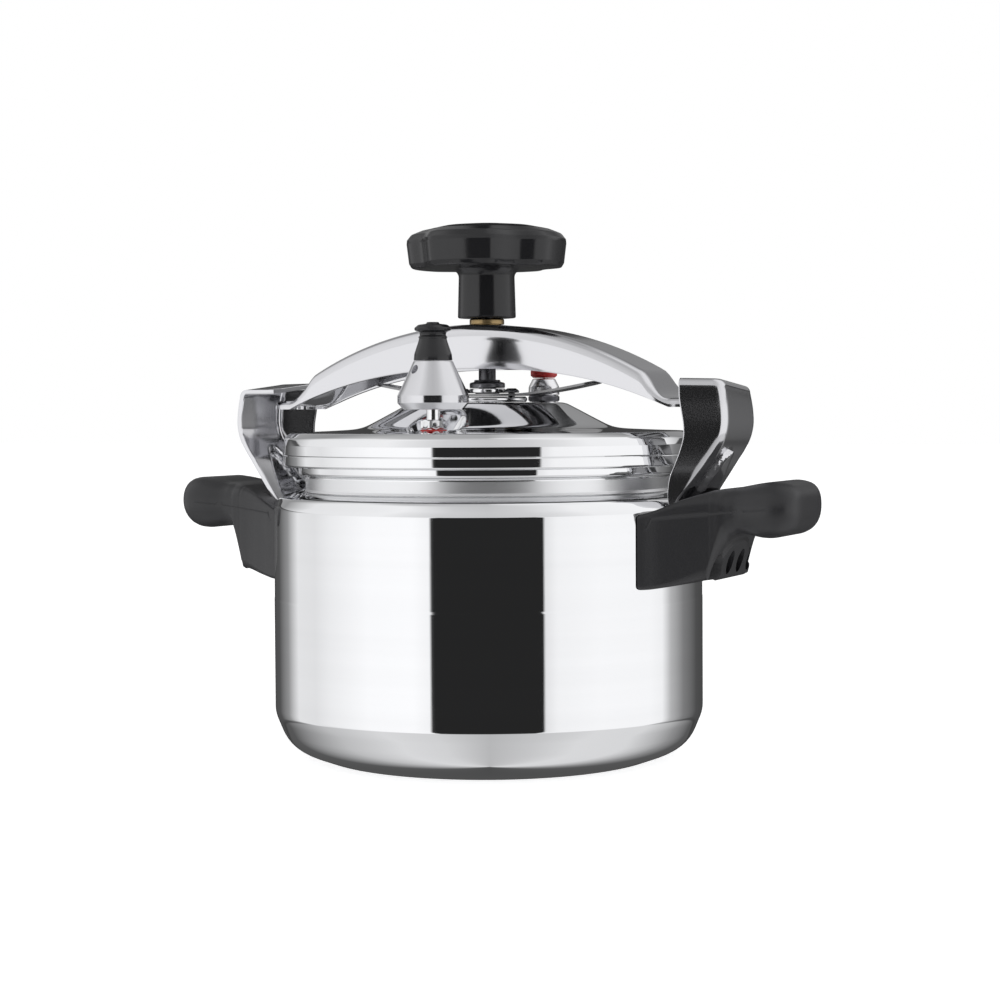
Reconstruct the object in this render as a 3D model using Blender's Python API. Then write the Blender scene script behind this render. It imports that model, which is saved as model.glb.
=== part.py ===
"""Stovetop pressure cooker with a screw-down yoke: design model.

Frame: origin at the centre of the base, +X towards the right handle, +Z up.
Driving sizes are in millimetres; meshes are built in metres.
"""
import math

import bmesh
import bpy
from mathutils import Matrix, Vector

MM = 0.001
GAP = 0.3
ROUND_STEPS = 36
SMALL_STEPS = 16

# Pot
POT_R = 110.0
POT_WALL = 2.8
BASE_THICK = 5.0
BASE_CORNER_R = 26.0
SHOULDER_Z = 131.0
NECK_R = 93.6
RIM_R = 96.0
RIM_Z = 152.0

# Lid
LID_R = 103.5
LID_THICK = 2.5
LID_TOP_Z = 181.3
LID_FLAT_Z = 166.6
LID_PLATEAU_R = 38.0
LID_SLOPE_END_R = 86.0
LID_EDGE_Z = 150.6
LID_SKIRT_INNER_R = 100.2
SLOPE_STEPS = 5
DIMPLE_R = 13.0
DIMPLE_Z = 166.0
DIMPLE_FLARE = 0.42
STUD_HOLE_R = 5.3

# Vent and weight
VENT_Y = -62.5
VENT_BORE_R = 1.3
VENT_PIPE_R = 3.4
WEIGHT_Z = 178.0
WEIGHT_R = 17.5
WEIGHT_SKIRT_Z = 201.6

# Safety valve
RELIEF_X = 18.9
RELIEF_Y = 29.5
RELIEF_THREAD_R = 6.1
RELIEF_BODY_R = 8.6

# Yoke
YOKE_TOP_Z = 221.0
YOKE_ARCH_R = 186.0
YOKE_SHEET = 2.6
YOKE_HALF_WIDTH = 21.0
TONGUE_TOP_Z = 182.9
TONGUE_BOTTOM_Z = 178.5
TONGUE_START_X = 106.0
TONGUE_TIP_X = 119.3
FLANGE_CENTRE_Z = 198.4

# Clamping screw and knob
SCREW_R = 4.4
FOOT_R = 6.2
KNOB_R = 41.0
KNOB_HUB_R = 15.0
KNOB_HUB_Z = 224.7
KNOB_UNDER_Z = 250.0
KNOB_TOP_Z = 272.7
KNOB_LOBES = 4
KNOB_SCALLOP = 5.0
KNOB_SCALLOP_HALF_ANGLE = math.radians(23.0)
KNOB_LOBE_ANGLE = math.radians(4.0)

# Ears and handles
EAR_HALF_WIDTH = 24.0
EAR_SHEET = 2.3
EAR_PLATE_R = 110.4
EAR_PLATE_BOTTOM_Z = 94.0
EAR_LIP_INNER_X = 113.0
EAR_LIP_RISE = 4.0
RIVET_ANGLE = math.radians(7.3)
RIVET_Z = 112.0
HANDLE_SCREW_Z = 104.0


# ---------------------------------------------------------------- helpers

def clear_scene():
    """Remove every object that the file opens with."""
    for obj in list(bpy.data.objects):
        bpy.data.objects.remove(obj, do_unlink=True)


def material(name, colour, roughness, metallic):
    """Make a plain Principled material."""
    mat = bpy.data.materials.new(name)
    mat.use_nodes = True
    shader = mat.node_tree.nodes["Principled BSDF"]
    shader.inputs["Base Color"].default_value = (*colour, 1.0)
    shader.inputs["Roughness"].default_value = roughness
    shader.inputs["Metallic"].default_value = metallic
    return mat


FINISHES = {
    "aluminium": ((0.86, 0.86, 0.87), 0.18, 1.0),
    "steel": ((0.62, 0.62, 0.64), 0.15, 1.0),
    "dark_steel": ((0.16, 0.16, 0.17), 0.35, 1.0),
    "brass": ((0.70, 0.50, 0.24), 0.25, 1.0),
    "bakelite": ((0.02, 0.02, 0.021), 0.35, 0.0),
    "red_silicone": ((0.62, 0.03, 0.03), 0.45, 0.0),
    "grey_rubber": ((0.20, 0.20, 0.20), 0.60, 0.0),
}


def finish_object(name, bm, finish, parent=None, origin=(0.0, 0.0, 0.0)):
    """Turn a bmesh in millimetres, centred on its own origin, into a named object."""
    bmesh.ops.scale(bm, vec=(MM, MM, MM), verts=bm.verts)
    bmesh.ops.recalc_face_normals(bm, faces=bm.faces)
    mesh = bpy.data.meshes.new(name)
    bm.to_mesh(mesh)
    bm.free()
    obj = bpy.data.objects.new(name, mesh)
    bpy.context.scene.collection.objects.link(obj)
    obj.data.materials.append(material(name, *FINISHES[finish]))
    obj.location = Vector(origin) * MM
    if parent is not None:
        obj.parent = parent
        obj.location = Vector(origin) * MM - parent.location
    return obj


def axis_empty(name, origin):
    """Put an empty on a joint axis, to parent the moving pieces to."""
    empty = bpy.data.objects.new(name, None)
    empty.location = Vector(origin) * MM
    bpy.context.scene.collection.objects.link(empty)
    return empty


def ring_loft(bm, rings, close_start=True, close_end=True):
    """Skin a list of rings with equal point counts; a one-point ring is a pole."""
    layers = [[bm.verts.new(p) for p in ring] for ring in rings]
    for lower, upper in zip(layers, layers[1:]):
        count = max(len(lower), len(upper))
        for i in range(count):
            j = (i + 1) % count
            if len(lower) == 1:
                bm.faces.new((lower[0], upper[i], upper[j]))
            elif len(upper) == 1:
                bm.faces.new((lower[i], lower[j], upper[0]))
            else:
                bm.faces.new((lower[i], lower[j], upper[j], upper[i]))
    if close_start and len(layers[0]) > 1:
        bm.faces.new(layers[0])
    if close_end and len(layers[-1]) > 1:
        bm.faces.new(layers[-1])
    return layers


def circle(radius, z, segments, phase=0.0):
    """Points of a level circle, or its one centre point when the radius is 0."""
    if radius == 0.0:
        return [(0.0, 0.0, z)]
    step = 2.0 * math.pi / segments
    return [(radius * math.cos(phase + i * step), radius * math.sin(phase + i * step), z)
            for i in range(segments)]


def lathe(name, profile, finish, parent=None, origin=(0.0, 0.0, 0.0), segments=SMALL_STEPS, phase=0.0):
    """Turn a profile of (radius, z) about its own Z axis.

    A profile that starts and ends on the axis makes a solid of revolution.
    Any other profile is closed on itself and makes a ring.
    """
    bm = bmesh.new()
    rings = [circle(r, z, segments, phase) for r, z in profile]
    on_axis = profile[0][0] == 0.0 and profile[-1][0] == 0.0
    layers = ring_loft(bm, rings, close_start=False, close_end=False)
    if not on_axis:
        first, last = layers[0], layers[-1]
        for i in range(segments):
            j = (i + 1) % segments
            bm.faces.new((last[i], last[j], first[j], first[i]))
    return finish_object(name, bm, finish, parent, origin)


def arc(cx, cz, radius, start_deg, end_deg, steps):
    """Points on an arc in the profile plane."""
    return [(cx + radius * math.cos(math.radians(start_deg + (end_deg - start_deg) * i / steps)),
             cz + radius * math.sin(math.radians(start_deg + (end_deg - start_deg) * i / steps)))
            for i in range(steps + 1)]


def washer(name, inner, outer, z0, z1, finish, parent, origin=(0.0, 0.0, 0.0), segments=SMALL_STEPS):
    """A flat ring between two heights."""
    profile = [(inner, z0), (outer, z0), (outer, z1), (inner, z1)]
    return lathe(name, profile, finish, parent, origin, segments)


def hex_nut(name, hole, across_flats, z0, z1, finish, parent, origin=(0.0, 0.0, 0.0)):
    """A hexagonal nut with a round hole, on 24 shared directions."""
    directions = 24
    step = 2.0 * math.pi / directions
    hexagon = []
    for i in range(directions):
        off_flat = (i * step + math.pi / 6.0) % (math.pi / 3.0) - math.pi / 6.0
        hexagon.append(across_flats / 2.0 / math.cos(off_flat))

    def outer(z):
        return [(r * math.cos(i * step), r * math.sin(i * step), z)
                for i, r in enumerate(hexagon)]

    bm = bmesh.new()
    rings = [circle(hole, z0, directions), outer(z0), outer(z1), circle(hole, z1, directions)]
    layers = ring_loft(bm, rings, close_start=False, close_end=False)
    first, last = layers[0], layers[-1]
    for i in range(directions):
        j = (i + 1) % directions
        bm.faces.new((last[i], last[j], first[j], first[i]))
    return finish_object(name, bm, finish, parent, origin)


def cutter(name, bm):
    """A hidden solid that Boolean modifiers cut with."""
    obj = finish_object(name, bm, "steel")
    obj.hide_render = True
    obj.display_type = "WIRE"
    return obj


def cylinder_mesh(bm, radius, z0, z1, matrix=None, segments=20):
    """Add a closed cylinder to a bmesh, along Z or along the matrix's own Z."""
    matrix = matrix or Matrix.Identity(4)
    depth = z1 - z0
    place = matrix @ Matrix.Translation((0.0, 0.0, (z0 + z1) / 2.0))
    bmesh.ops.create_cone(bm, cap_ends=True, segments=segments, radius1=radius,
                          radius2=radius, depth=depth, matrix=place)


def mirror_to_left(bm):
    """Copy what a bmesh holds to the opposite side, half a turn about Z."""
    copied = bmesh.ops.duplicate(bm, geom=bm.verts[:] + bm.edges[:] + bm.faces[:])
    verts = [item for item in copied["geom"] if isinstance(item, bmesh.types.BMVert)]
    bmesh.ops.rotate(bm, cent=(0.0, 0.0, 0.0), verts=verts,
                     matrix=Matrix.Rotation(math.pi, 3, "Z"))


def cut(obj, tool):
    """Take a cutter away from an object with an exact Boolean."""
    modifier = obj.modifiers.new("cut_" + tool.name, "BOOLEAN")
    modifier.operation = "DIFFERENCE"
    modifier.solver = "EXACT"
    modifier.object = tool


def radial_frame(angle, z):
    """A frame whose Z axis points outwards from the pot's axis at a height."""
    return (Matrix.Translation((0.0, 0.0, z)) @ Matrix.Rotation(angle, 4, "Z")
            @ Matrix.Rotation(math.pi / 2.0, 4, "Y"))


# ---------------------------------------------------------------- pot

def pot_profile():
    """Outer and inner profile of the pot, closed on the axis."""
    corner_x = POT_R - BASE_CORNER_R
    inner_r = POT_R - POT_WALL
    outer = [(0.0, 0.0)] + arc(corner_x, BASE_CORNER_R, BASE_CORNER_R, -90, 0, 6)
    outer += [(POT_R, 83.0), (POT_R, SHOULDER_Z), (108.6, 133.8), (105.8, 135.2)]
    outer += [(98.0, 136.0), (94.8, 138.2), (NECK_R, 141.0), (NECK_R, 143.5)]
    outer += [(RIM_R, 145.5), (RIM_R, 150.5), (RIM_R - 1.0, RIM_Z), (92.2, RIM_Z)]
    inner = [(90.8, 150.5), (90.8, 139.5), (92.5, 135.8), (97.5, 133.3)]
    inner += [(104.0, 132.5), (106.4, 131.4), (inner_r, 129.3)]
    inner += arc(inner_r - 22.0, BASE_THICK + 22.0, 22.0, 0, -90, 4) + [(0.0, BASE_THICK)]
    return outer + inner


def rivet_holes(radius, r0, r1):
    """One cutter for the four ear rivets' holes through the wall."""
    bm = bmesh.new()
    for sign in (-1.0, 1.0):
        cylinder_mesh(bm, radius, r0, r1, radial_frame(sign * RIVET_ANGLE, RIVET_Z), 12)
    mirror_to_left(bm)
    return bm


def make_pot_shell():
    """The drawn aluminium pot."""
    pot = lathe("pot_shell", pot_profile(), "aluminium", segments=ROUND_STEPS)
    cut(pot, cutter("rivet_hole_cutter", rivet_holes(2.2, 100.0, 118.0)))
    cut(pot, bpy.data.objects["handle_screw_cutter"])


# ---------------------------------------------------------------- ears

EAR_OUTER = [(94.0, 0.0), (111.0, 0.0), (128.0, 113.5), (134.0, 117.2), (140.0, 120.4),
             (145.0, 123.2), (151.0, 126.6), (156.0, 130.2), (161.0, 133.0), (165.0, 134.5),
             (170.0, 135.3), (175.0, 135.1), (180.0, 134.5), (186.6, 133.2)]
EAR_WALL_INNER = {134.0: 107.2, 140.0: 107.4, 145.0: 108.5, 151.0: 111.3, 156.0: 113.0,
                  161.0: 114.6, 165.0: 115.6, 170.0: 115.2, 175.0: 114.0, 180.0: 113.0,
                  186.6: 113.0}
EAR_TOP_Z = 188.9
EAR_STEPS = 6


def ear_across(index):
    """Distance across the ear at one of its steps, from the open to the closed side."""
    return EAR_HALF_WIDTH - 2.0 * EAR_HALF_WIDTH * index / EAR_STEPS


def ear_outer_x(z, x_mid, y, inset):
    """Outer wall: follows the pot's wall low down and runs flat higher up."""
    plate = math.sqrt((EAR_PLATE_R + EAR_SHEET - inset) ** 2 - y * y)
    blend = min(max((z - 126.0) / 24.0, 0.0), 1.0)
    bow = 2.6 * (1.0 - blend) * (y / EAR_HALF_WIDTH) ** 2
    if x_mid == 0.0:
        return plate
    return x_mid - inset - bow


def ear_slice(z, x_mid):
    """An L-shaped slice: the outer wall and the closed side wall at -Y."""
    outside = []
    inside = []
    for i in range(EAR_STEPS + 1):
        y = ear_across(i)
        outside.append((ear_outer_x(z, x_mid, y, 0.0), y, z))
        y_in = max(y, -EAR_HALF_WIDTH + EAR_SHEET)
        inside.append((ear_outer_x(z, x_mid, y_in, EAR_SHEET), y_in, z))
    corner_x = inside[-1][0]
    wall_x = min(EAR_WALL_INNER.get(z, corner_x), corner_x - 0.05)
    wall = [(wall_x, -EAR_HALF_WIDTH, z), (wall_x, -EAR_HALF_WIDTH + EAR_SHEET, z)]
    return outside + wall + inside[::-1]


def tilt_lip(z, y):
    """Raise the top of the ear towards its closed side."""
    share = min(max((z - 172.0) / (EAR_TOP_Z - 172.0), 0.0), 1.0)
    return z + EAR_LIP_RISE * share * (EAR_HALF_WIDTH - y) / (2.0 * EAR_HALF_WIDTH)


def make_ear(name, side_angle):
    """A bent steel ear: plate, outer wall, one side wall and a lip over the tongue."""
    bm = bmesh.new()
    layers = ring_loft(bm, [ear_slice(z, x) for z, x in EAR_OUTER], close_end=False)
    top = layers[-1]
    outer_count = EAR_STEPS + 1
    outer = top[:outer_count]
    wall_out, wall_in = top[outer_count], top[outer_count + 1]
    inner = top[outer_count + 2:]
    z_low = EAR_OUTER[-1][0]
    lip_low = bm.verts.new((EAR_LIP_INNER_X, EAR_HALF_WIDTH, z_low))
    bm.faces.new([wall_in] + inner + [lip_low])
    border = outer + [wall_out, wall_in, lip_low, inner[-1]]
    above = [bm.verts.new((v.co.x, v.co.y, EAR_TOP_Z)) for v in border]
    for i in range(len(border)):
        j = (i + 1) % len(border)
        bm.faces.new((border[i], border[j], above[j], above[i]))
    bm.faces.new(above)
    for vert in bm.verts:
        vert.co.z = tilt_lip(vert.co.z, vert.co.y)
    bmesh.ops.triangulate(bm, faces=bm.faces)
    ear = finish_object(name, bm, "steel")
    ear.rotation_euler.z = side_angle
    cut(ear, bpy.data.objects["rivet_hole_cutter"])
    cut(ear, bpy.data.objects["handle_screw_cutter"])


def make_rivets():
    """Two rivets through the pot's wall on each side."""
    profile = [(0.0, 104.6), (3.4, 104.8), (4.4, 105.6), (4.4, 106.4), (1.9, 106.4),
               (1.9, 113.1), (3.6, 113.1), (3.6, 113.9), (2.6, 114.5), (0.0, 114.6)]
    for side_name, side in (("right", 0.0), ("left", math.pi)):
        for end_name, sign in (("front", -1.0), ("rear", 1.0)):
            rivet = lathe(f"ear_rivet_{side_name}_{end_name}", profile, "steel", segments=16)
            frame = radial_frame(side + sign * RIVET_ANGLE, RIVET_Z)
            rivet.matrix_world = Matrix.Translation(frame.translation * MM) @ frame.to_3x3().to_4x4()


# ---------------------------------------------------------------- handles

HANDLE_SECTIONS = [(96.0, 41.5, 91.0, 126.0), (104.0, 41.5, 91.3, 128.0),
                   (112.0, 39.0, 92.4, 131.0), (120.0, 35.0, 93.6, 134.6),
                   (127.0, 32.0, 94.7, 137.2), (131.0, 31.0, 95.4, 138.4),
                   (134.0, 30.0, 101.0, 139.0), (137.0, 29.0, 108.5, 139.3),
                   (140.0, 28.4, 114.5, 139.6), (143.0, 28.0, 117.4, 139.9),
                   (148.0, 28.2, 116.8, 140.8), (154.0, 28.8, 115.6, 142.0),
                   (160.0, 28.8, 115.8, 142.6), (166.0, 27.4, 118.0, 141.6),
                   (169.6, 24.5, 121.0, 139.4), (171.4, 20.0, 124.4, 136.4),
                   (172.2, 14.0, 127.6, 133.2)]
HANDLE_EDGE_R = 6.0


def handle_section(x, half_width, z_low, z_high):
    """A rounded-rectangle section across the handle."""
    radius = min(HANDLE_EDGE_R, (z_high - z_low) / 2.2, half_width / 2.0)
    points = []
    corners = ((half_width, z_high, 0), (-half_width, z_high, 90),
               (-half_width, z_low, 180), (half_width, z_low, 270))
    for y, z, start in corners:
        cy = y - math.copysign(radius, y)
        cz = z - radius if z == z_high else z + radius
        for i in range(3):
            angle = math.radians(start + 45.0 * i)
            points.append((x, cy + radius * math.cos(angle), cz + radius * math.sin(angle)))
    return points


def handle_cutters():
    """Hidden solids that clear the pot, the ear, the rivet heads and the insert."""
    bm = bmesh.new()
    cylinder_mesh(bm, POT_R + 0.35, 80.0, 150.0, segments=144)
    pot_tool = cutter("handle_pot_cutter", bm)

    bm = bmesh.new()
    plate_r = EAR_PLATE_R + EAR_SHEET + GAP
    half = EAR_HALF_WIDTH + GAP
    spread = math.asin(half / plate_r)
    arc_points = [spread * (i / 8.0 - 1.0) for i in range(17)]
    rings = []
    for z in (EAR_PLATE_BOTTOM_Z - GAP, 127.0, 131.5, 136.0, 150.0):
        lean = max(z - 125.0, 0.0) * 0.62
        outside = [(plate_r * math.cos(a) + lean, plate_r * math.sin(a), z) for a in arc_points]
        inside = [(104.0, y, z) for y in (half, -half)]
        rings.append(outside + inside)
    ring_loft(bm, rings)
    mirror_to_left(bm)
    plate_tool = cutter("handle_plate_cutter", bm)

    bm = bmesh.new()
    for sign in (-1.0, 1.0):
        cylinder_mesh(bm, 4.2, 108.0, 115.2, radial_frame(sign * RIVET_ANGLE, RIVET_Z), 12)
    cylinder_mesh(bm, 4.8, 108.0, 125.0, radial_frame(0.0, HANDLE_SCREW_Z), 16)
    mirror_to_left(bm)
    return pot_tool, plate_tool, cutter("handle_hole_cutter", bm)


def make_handle(name, side_angle, tools):
    """A black moulded handle that wraps the pot and ends in a thick grip."""
    bm = bmesh.new()
    ring_loft(bm, [handle_section(*section) for section in HANDLE_SECTIONS])
    handle = finish_object(name, bm, "bakelite")
    handle.rotation_euler.z = side_angle
    for tool in tools:
        cut(handle, tool)


def screw_hole_cutter():
    """The hole through the wall and the ear plate for each handle's screw."""
    bm = bmesh.new()
    cylinder_mesh(bm, 2.3, 100.0, 118.0, radial_frame(0.0, HANDLE_SCREW_Z), 16)
    mirror_to_left(bm)
    return cutter("handle_screw_cutter", bm)


def make_handle_screws():
    """A screw from inside the pot, in a brass insert, holds each handle."""
    screw_profile = [(0.0, 104.4), (3.6, 104.6), (4.6, 105.6), (4.6, 106.4), (2.0, 106.4),
                     (2.0, 123.6), (0.0, 123.6)]
    insert_profile = [(2.3, 113.4), (4.5, 113.4), (4.5, 124.2), (2.3, 124.2)]
    for side_name, side in (("right", 0.0), ("left", math.pi)):
        frame = radial_frame(side, HANDLE_SCREW_Z)
        place = Matrix.Translation(frame.translation * MM) @ frame.to_3x3().to_4x4()
        screw = lathe(f"handle_screw_{side_name}", screw_profile, "steel")
        screw.matrix_world = place
        insert = lathe(f"handle_insert_{side_name}", insert_profile, "brass")
        insert.matrix_world = place


# ---------------------------------------------------------------- lid and gasket

def make_gasket(cover):
    """A C-shaped sealing ring that opens towards the steam."""
    profile = [(99.8, 152.4), (99.8, 161.2), (97.6, 163.6), (86.0, 163.7), (86.0, 161.4),
               (96.4, 160.4), (96.4, 155.8), (87.4, 154.7), (87.4, 152.4)]
    lathe("gasket", profile, "grey_rubber", cover, segments=ROUND_STEPS)


def lid_slope(share):
    """Height of the S-shaped slope between the plateau and the flat, from 0 to 1."""
    drop = LID_TOP_Z - LID_FLAT_Z
    return LID_TOP_Z - drop * (0.5 - 0.5 * math.cos(math.pi * share))


def lid_outer_profile():
    """Top of the lid from the axis to its lower edge."""
    slope = [(LID_PLATEAU_R + (LID_SLOPE_END_R - LID_PLATEAU_R) * i / SLOPE_STEPS, lid_slope(i / SLOPE_STEPS))
             for i in range(SLOPE_STEPS + 1)]
    rim = [(98.3, LID_FLAT_Z), (101.5, 165.2), (103.2, 162.6), (LID_R, 159.5),
           (103.2, 155.2), (102.6, 154.0), (102.8, 152.8), (102.8, LID_EDGE_Z)]
    return [(0.0, LID_TOP_Z)] + slope + rim


def lid_inner_profile():
    """Underside of the lid, from the axis outwards, run down past the edge."""
    slope = [(LID_PLATEAU_R + (LID_SLOPE_END_R - LID_PLATEAU_R) * i / SLOPE_STEPS - 0.8,
              lid_slope(i / SLOPE_STEPS) - LID_THICK) for i in range(SLOPE_STEPS + 1)]
    rim = [(97.0, LID_FLAT_Z - LID_THICK), (99.2, 163.0), (LID_SKIRT_INNER_R, 161.2),
           (LID_SKIRT_INNER_R, LID_EDGE_Z - 5.0)]
    return [(0.0, LID_TOP_Z - LID_THICK)] + slope + rim


def turned_mesh(profile, segments):
    """A bmesh solid of revolution whose profile starts and ends on the axis."""
    bm = bmesh.new()
    ring_loft(bm, [circle(r, z, segments) for r, z in profile], False, False)
    return bm


def dimple_mesh(floor_r, floor_z, segments=28):
    """A flaring pocket on the vent's axis, open past the top of the lid."""
    bm = bmesh.new()
    depth = 34.0
    bmesh.ops.create_cone(bm, cap_ends=True, segments=segments, radius1=floor_r,
                          radius2=floor_r + DIMPLE_FLARE * depth, depth=depth,
                          matrix=Matrix.Translation((0.0, VENT_Y, floor_z + depth / 2.0)))
    return bm


def make_lid(cover):
    """The drawn lid, dished for the vent and drilled for its fittings."""
    bm = turned_mesh(lid_outer_profile() + [(0.0, LID_EDGE_Z)], ROUND_STEPS)
    lid = finish_object("lid_shell", bm, "aluminium", cover)
    inside = cutter("lid_inside_cutter", turned_mesh(
        lid_inner_profile() + [(0.0, LID_EDGE_Z - 5.0)], ROUND_STEPS))
    pocket_floor = dimple_mesh(DIMPLE_R + 0.6 * LID_THICK, DIMPLE_Z - LID_THICK)
    cut(inside, cutter("dimple_floor_cutter", pocket_floor))
    cut(lid, cutter("dimple_cutter", dimple_mesh(DIMPLE_R, DIMPLE_Z)))
    cut(lid, inside)
    bm = bmesh.new()
    cylinder_mesh(bm, VENT_PIPE_R + 0.4, 150.0, 200.0,
                  Matrix.Translation((0.0, VENT_Y, 0.0)), 16)
    cylinder_mesh(bm, STUD_HOLE_R, 160.0, 200.0, segments=16)
    cylinder_mesh(bm, RELIEF_THREAD_R + GAP, 160.0, 200.0,
                  Matrix.Translation((RELIEF_X, RELIEF_Y, 0.0)), 16)
    cut(lid, cutter("lid_hole_cutter", bm))


# ---------------------------------------------------------------- hub on the lid

def make_hub(cover):
    """The pad, spring and socket that take the clamping screw's push."""
    plate = [(0.0, 173.6), (4.9, 173.6), (4.9, 181.7), (19.6, 181.7), (20.5, 182.4),
             (20.5, 183.7), (19.8, 184.4), (0.0, 184.4)]
    lathe("bearing_plate", plate, "steel", cover, segments=24)
    bm = bmesh.new()
    for sign in (-1.0, 1.0):
        cylinder_mesh(bm, 2.0, 182.6, 190.0, Matrix.Translation((sign * 13.7, 0.0, 0.0)), 12)
    cut(bpy.data.objects["bearing_plate"], cutter("retainer_hole_cutter", bm))
    washer("hub_washer", 5.3, 10.5, 177.4, 178.5, "steel", cover)
    hex_nut("hub_nut", 5.2, 16.0, 172.2, 177.1, "steel", cover)
    washer("screw_socket", FOOT_R + 0.4, 9.2, 186.3, 188.6, "steel", cover)
    retainer = [(SCREW_R + 0.4, 188.9), (8.6, 188.9), (9.1, 189.4), (9.1, 192.4),
                (8.5, 193.0), (SCREW_R + 0.4, 193.0)]
    lathe("screw_retainer", retainer, "dark_steel", cover)
    head = [(0.0, 182.9), (1.7, 182.9), (1.7, 186.3), (3.8, 186.3), (3.8, 187.3),
            (2.8, 188.3), (0.0, 188.5)]
    for name, x in (("retainer_screw_left", -13.7), ("retainer_screw_right", 13.7)):
        lathe(name, head, "dark_steel", cover, (x, 0.0, 0.0), 16)


def leaf_height(x):
    """Height of the leaf spring's underside: flat at the middle, curling up outwards."""
    reach = max(abs(x) - 20.0, 0.0)
    return 184.7 + 5.9 * (reach / 41.0) ** 1.4


def make_leaf_spring(cover):
    """A thin bowed strip between the bearing plate and the yoke."""
    bm = bmesh.new()
    stations = [-61, -52, -43, -34, -26, -20, 20, 26, 34, 43, 52, 61]
    rings = []
    for x in stations:
        half = 10.0 - 2.5 * max(abs(x) - 20.0, 0.0) / 41.0
        z = leaf_height(x)
        rings.append([(x, -half, z), (x, half, z), (x, half, z + 1.2), (x, -half, z + 1.2)])
    ring_loft(bm, rings)
    leaf = finish_object("leaf_spring", bm, "steel", cover)
    bm = bmesh.new()
    cylinder_mesh(bm, FOOT_R + 0.4, 180.0, 190.0, segments=20)
    for sign in (-1.0, 1.0):
        cylinder_mesh(bm, 2.1, 180.0, 190.0, Matrix.Translation((sign * 13.7, 0.0, 0.0)), 12)
    cut(leaf, cutter("leaf_hole_cutter", bm))


# ---------------------------------------------------------------- vent and weight

def make_vent(cover):
    """The steam pipe with its seal and nuts."""
    at = (0.0, VENT_Y, 0.0)
    pipe = [(VENT_BORE_R, 156.5), (2.6, 156.5), (VENT_PIPE_R, 157.5), (VENT_PIPE_R, 186.5),
            (2.6, 189.6), (VENT_BORE_R, 190.0)]
    lathe("vent_pipe", pipe, "steel", cover, at, 16)
    washer("vent_seal", VENT_PIPE_R + GAP, 6.4, 166.3, 168.2, "red_silicone", cover, at)
    hex_nut("vent_nut", VENT_PIPE_R + GAP, 11.0, 168.5, 172.0, "steel", cover, at)
    hex_nut("vent_inner_nut", VENT_PIPE_R + GAP, 14.0, 158.6, 163.2, "steel", cover, at)


def make_weight(weight):
    """The working weight: chrome body, black cap and the needle that shuts the pipe."""
    at = (0.0, VENT_Y, 0.0)
    body = [(4.0, WEIGHT_Z), (15.3, WEIGHT_Z), (WEIGHT_R, 180.8), (WEIGHT_R, 184.4),
            (16.6, 186.4), (12.6, 194.6), (9.7, WEIGHT_SKIRT_Z), (4.0, WEIGHT_SKIRT_Z)]
    lathe("weight_body", body, "steel", weight, at, 24)
    cap = [(0.0, 201.9), (9.5, 201.9), (9.2, 205.0), (7.4, 210.4), (6.7, 212.6), (7.1, 213.2),
           (6.2, 214.0), (6.6, 215.6), (8.9, 216.4), (9.0, 218.0), (7.0, 219.3), (3.2, 219.8),
           (2.6, 220.6), (0.0, 220.6)]
    lathe("weight_cap", cap, "bakelite", weight, at)
    needle = [(0.0, 190.3), (1.0, 190.6), (3.6, 193.2), (3.6, 201.4), (0.0, 201.4)]
    lathe("weight_needle", needle, "steel", weight, at, 12)


# ---------------------------------------------------------------- safety valve

def make_relief(cover, relief):
    """The spring-loaded safety valve with its red button."""
    at = (RELIEF_X, RELIEF_Y, 0.0)
    hole = RELIEF_THREAD_R + GAP
    body = [(2.4, 170.0), (RELIEF_THREAD_R, 170.0), (RELIEF_THREAD_R, 185.3),
            (RELIEF_BODY_R, 185.3), (RELIEF_BODY_R, 189.0), (7.8, 191.6), (6.2, 193.6),
            (2.5, 193.6), (2.5, 190.6), (4.7, 190.6), (4.7, 173.2), (2.4, 173.2)]
    lathe("relief_body", body, "steel", cover, at)
    hex_nut("relief_nut", hole, 15.4, 181.7, 185.0, "dark_steel", cover, at)
    washer("relief_seal", hole, 8.6, 176.2, 177.7, "red_silicone", cover, at)
    hex_nut("relief_inner_nut", hole, 16.4, 171.6, 175.9, "steel", cover, at)
    stem = [(0.0, 166.5), (2.0, 166.5), (2.0, 173.6), (4.2, 173.6), (4.2, 175.6), (2.0, 175.6),
            (2.0, 197.4), (0.0, 197.4)]
    lathe("relief_stem", stem, "steel", relief, at, 16)
    button = [(0.0, 197.8), (2.4, 197.8), (2.4, 194.2), (5.6, 194.2), (6.8, 195.2), (6.8, 197.8),
              (5.6, 198.9), (0.0, 199.3)]
    lathe("relief_button", button, "red_silicone", relief, at)


def make_relief_spring(cover):
    """The valve's coil spring, wound by a loop."""
    turns, per_turn, sides = 4, 10, 4
    mean_r, wire_r, z0, z1 = 3.3, 0.45, 176.5, 189.7
    steps = turns * per_turn
    rings = []
    for i in range(steps + 1):
        turn = 2.0 * math.pi * i / per_turn
        z = z0 + (z1 - z0) * i / steps
        ring = []
        for k in range(sides):
            a = 2.0 * math.pi * k / sides
            r = mean_r + wire_r * math.cos(a)
            ring.append((r * math.cos(turn), r * math.sin(turn), z + wire_r * math.sin(a)))
        rings.append(ring)
    bm = bmesh.new()
    ring_loft(bm, rings)
    finish_object("relief_spring", bm, "steel", cover, (RELIEF_X, RELIEF_Y, 0.0))


# ---------------------------------------------------------------- yoke

def yoke_top(x):
    """Height of the yoke's top: an arch that eases into flat tongues."""
    ax = min(abs(x), TONGUE_START_X)
    arch = YOKE_TOP_Z - (YOKE_ARCH_R - math.sqrt(YOKE_ARCH_R ** 2 - ax * ax))
    share = max((ax - 91.0) / (TONGUE_START_X - 91.0), 0.0)
    return arch + (TONGUE_TOP_Z - arch) * share * share * (3.0 - 2.0 * share)


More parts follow.
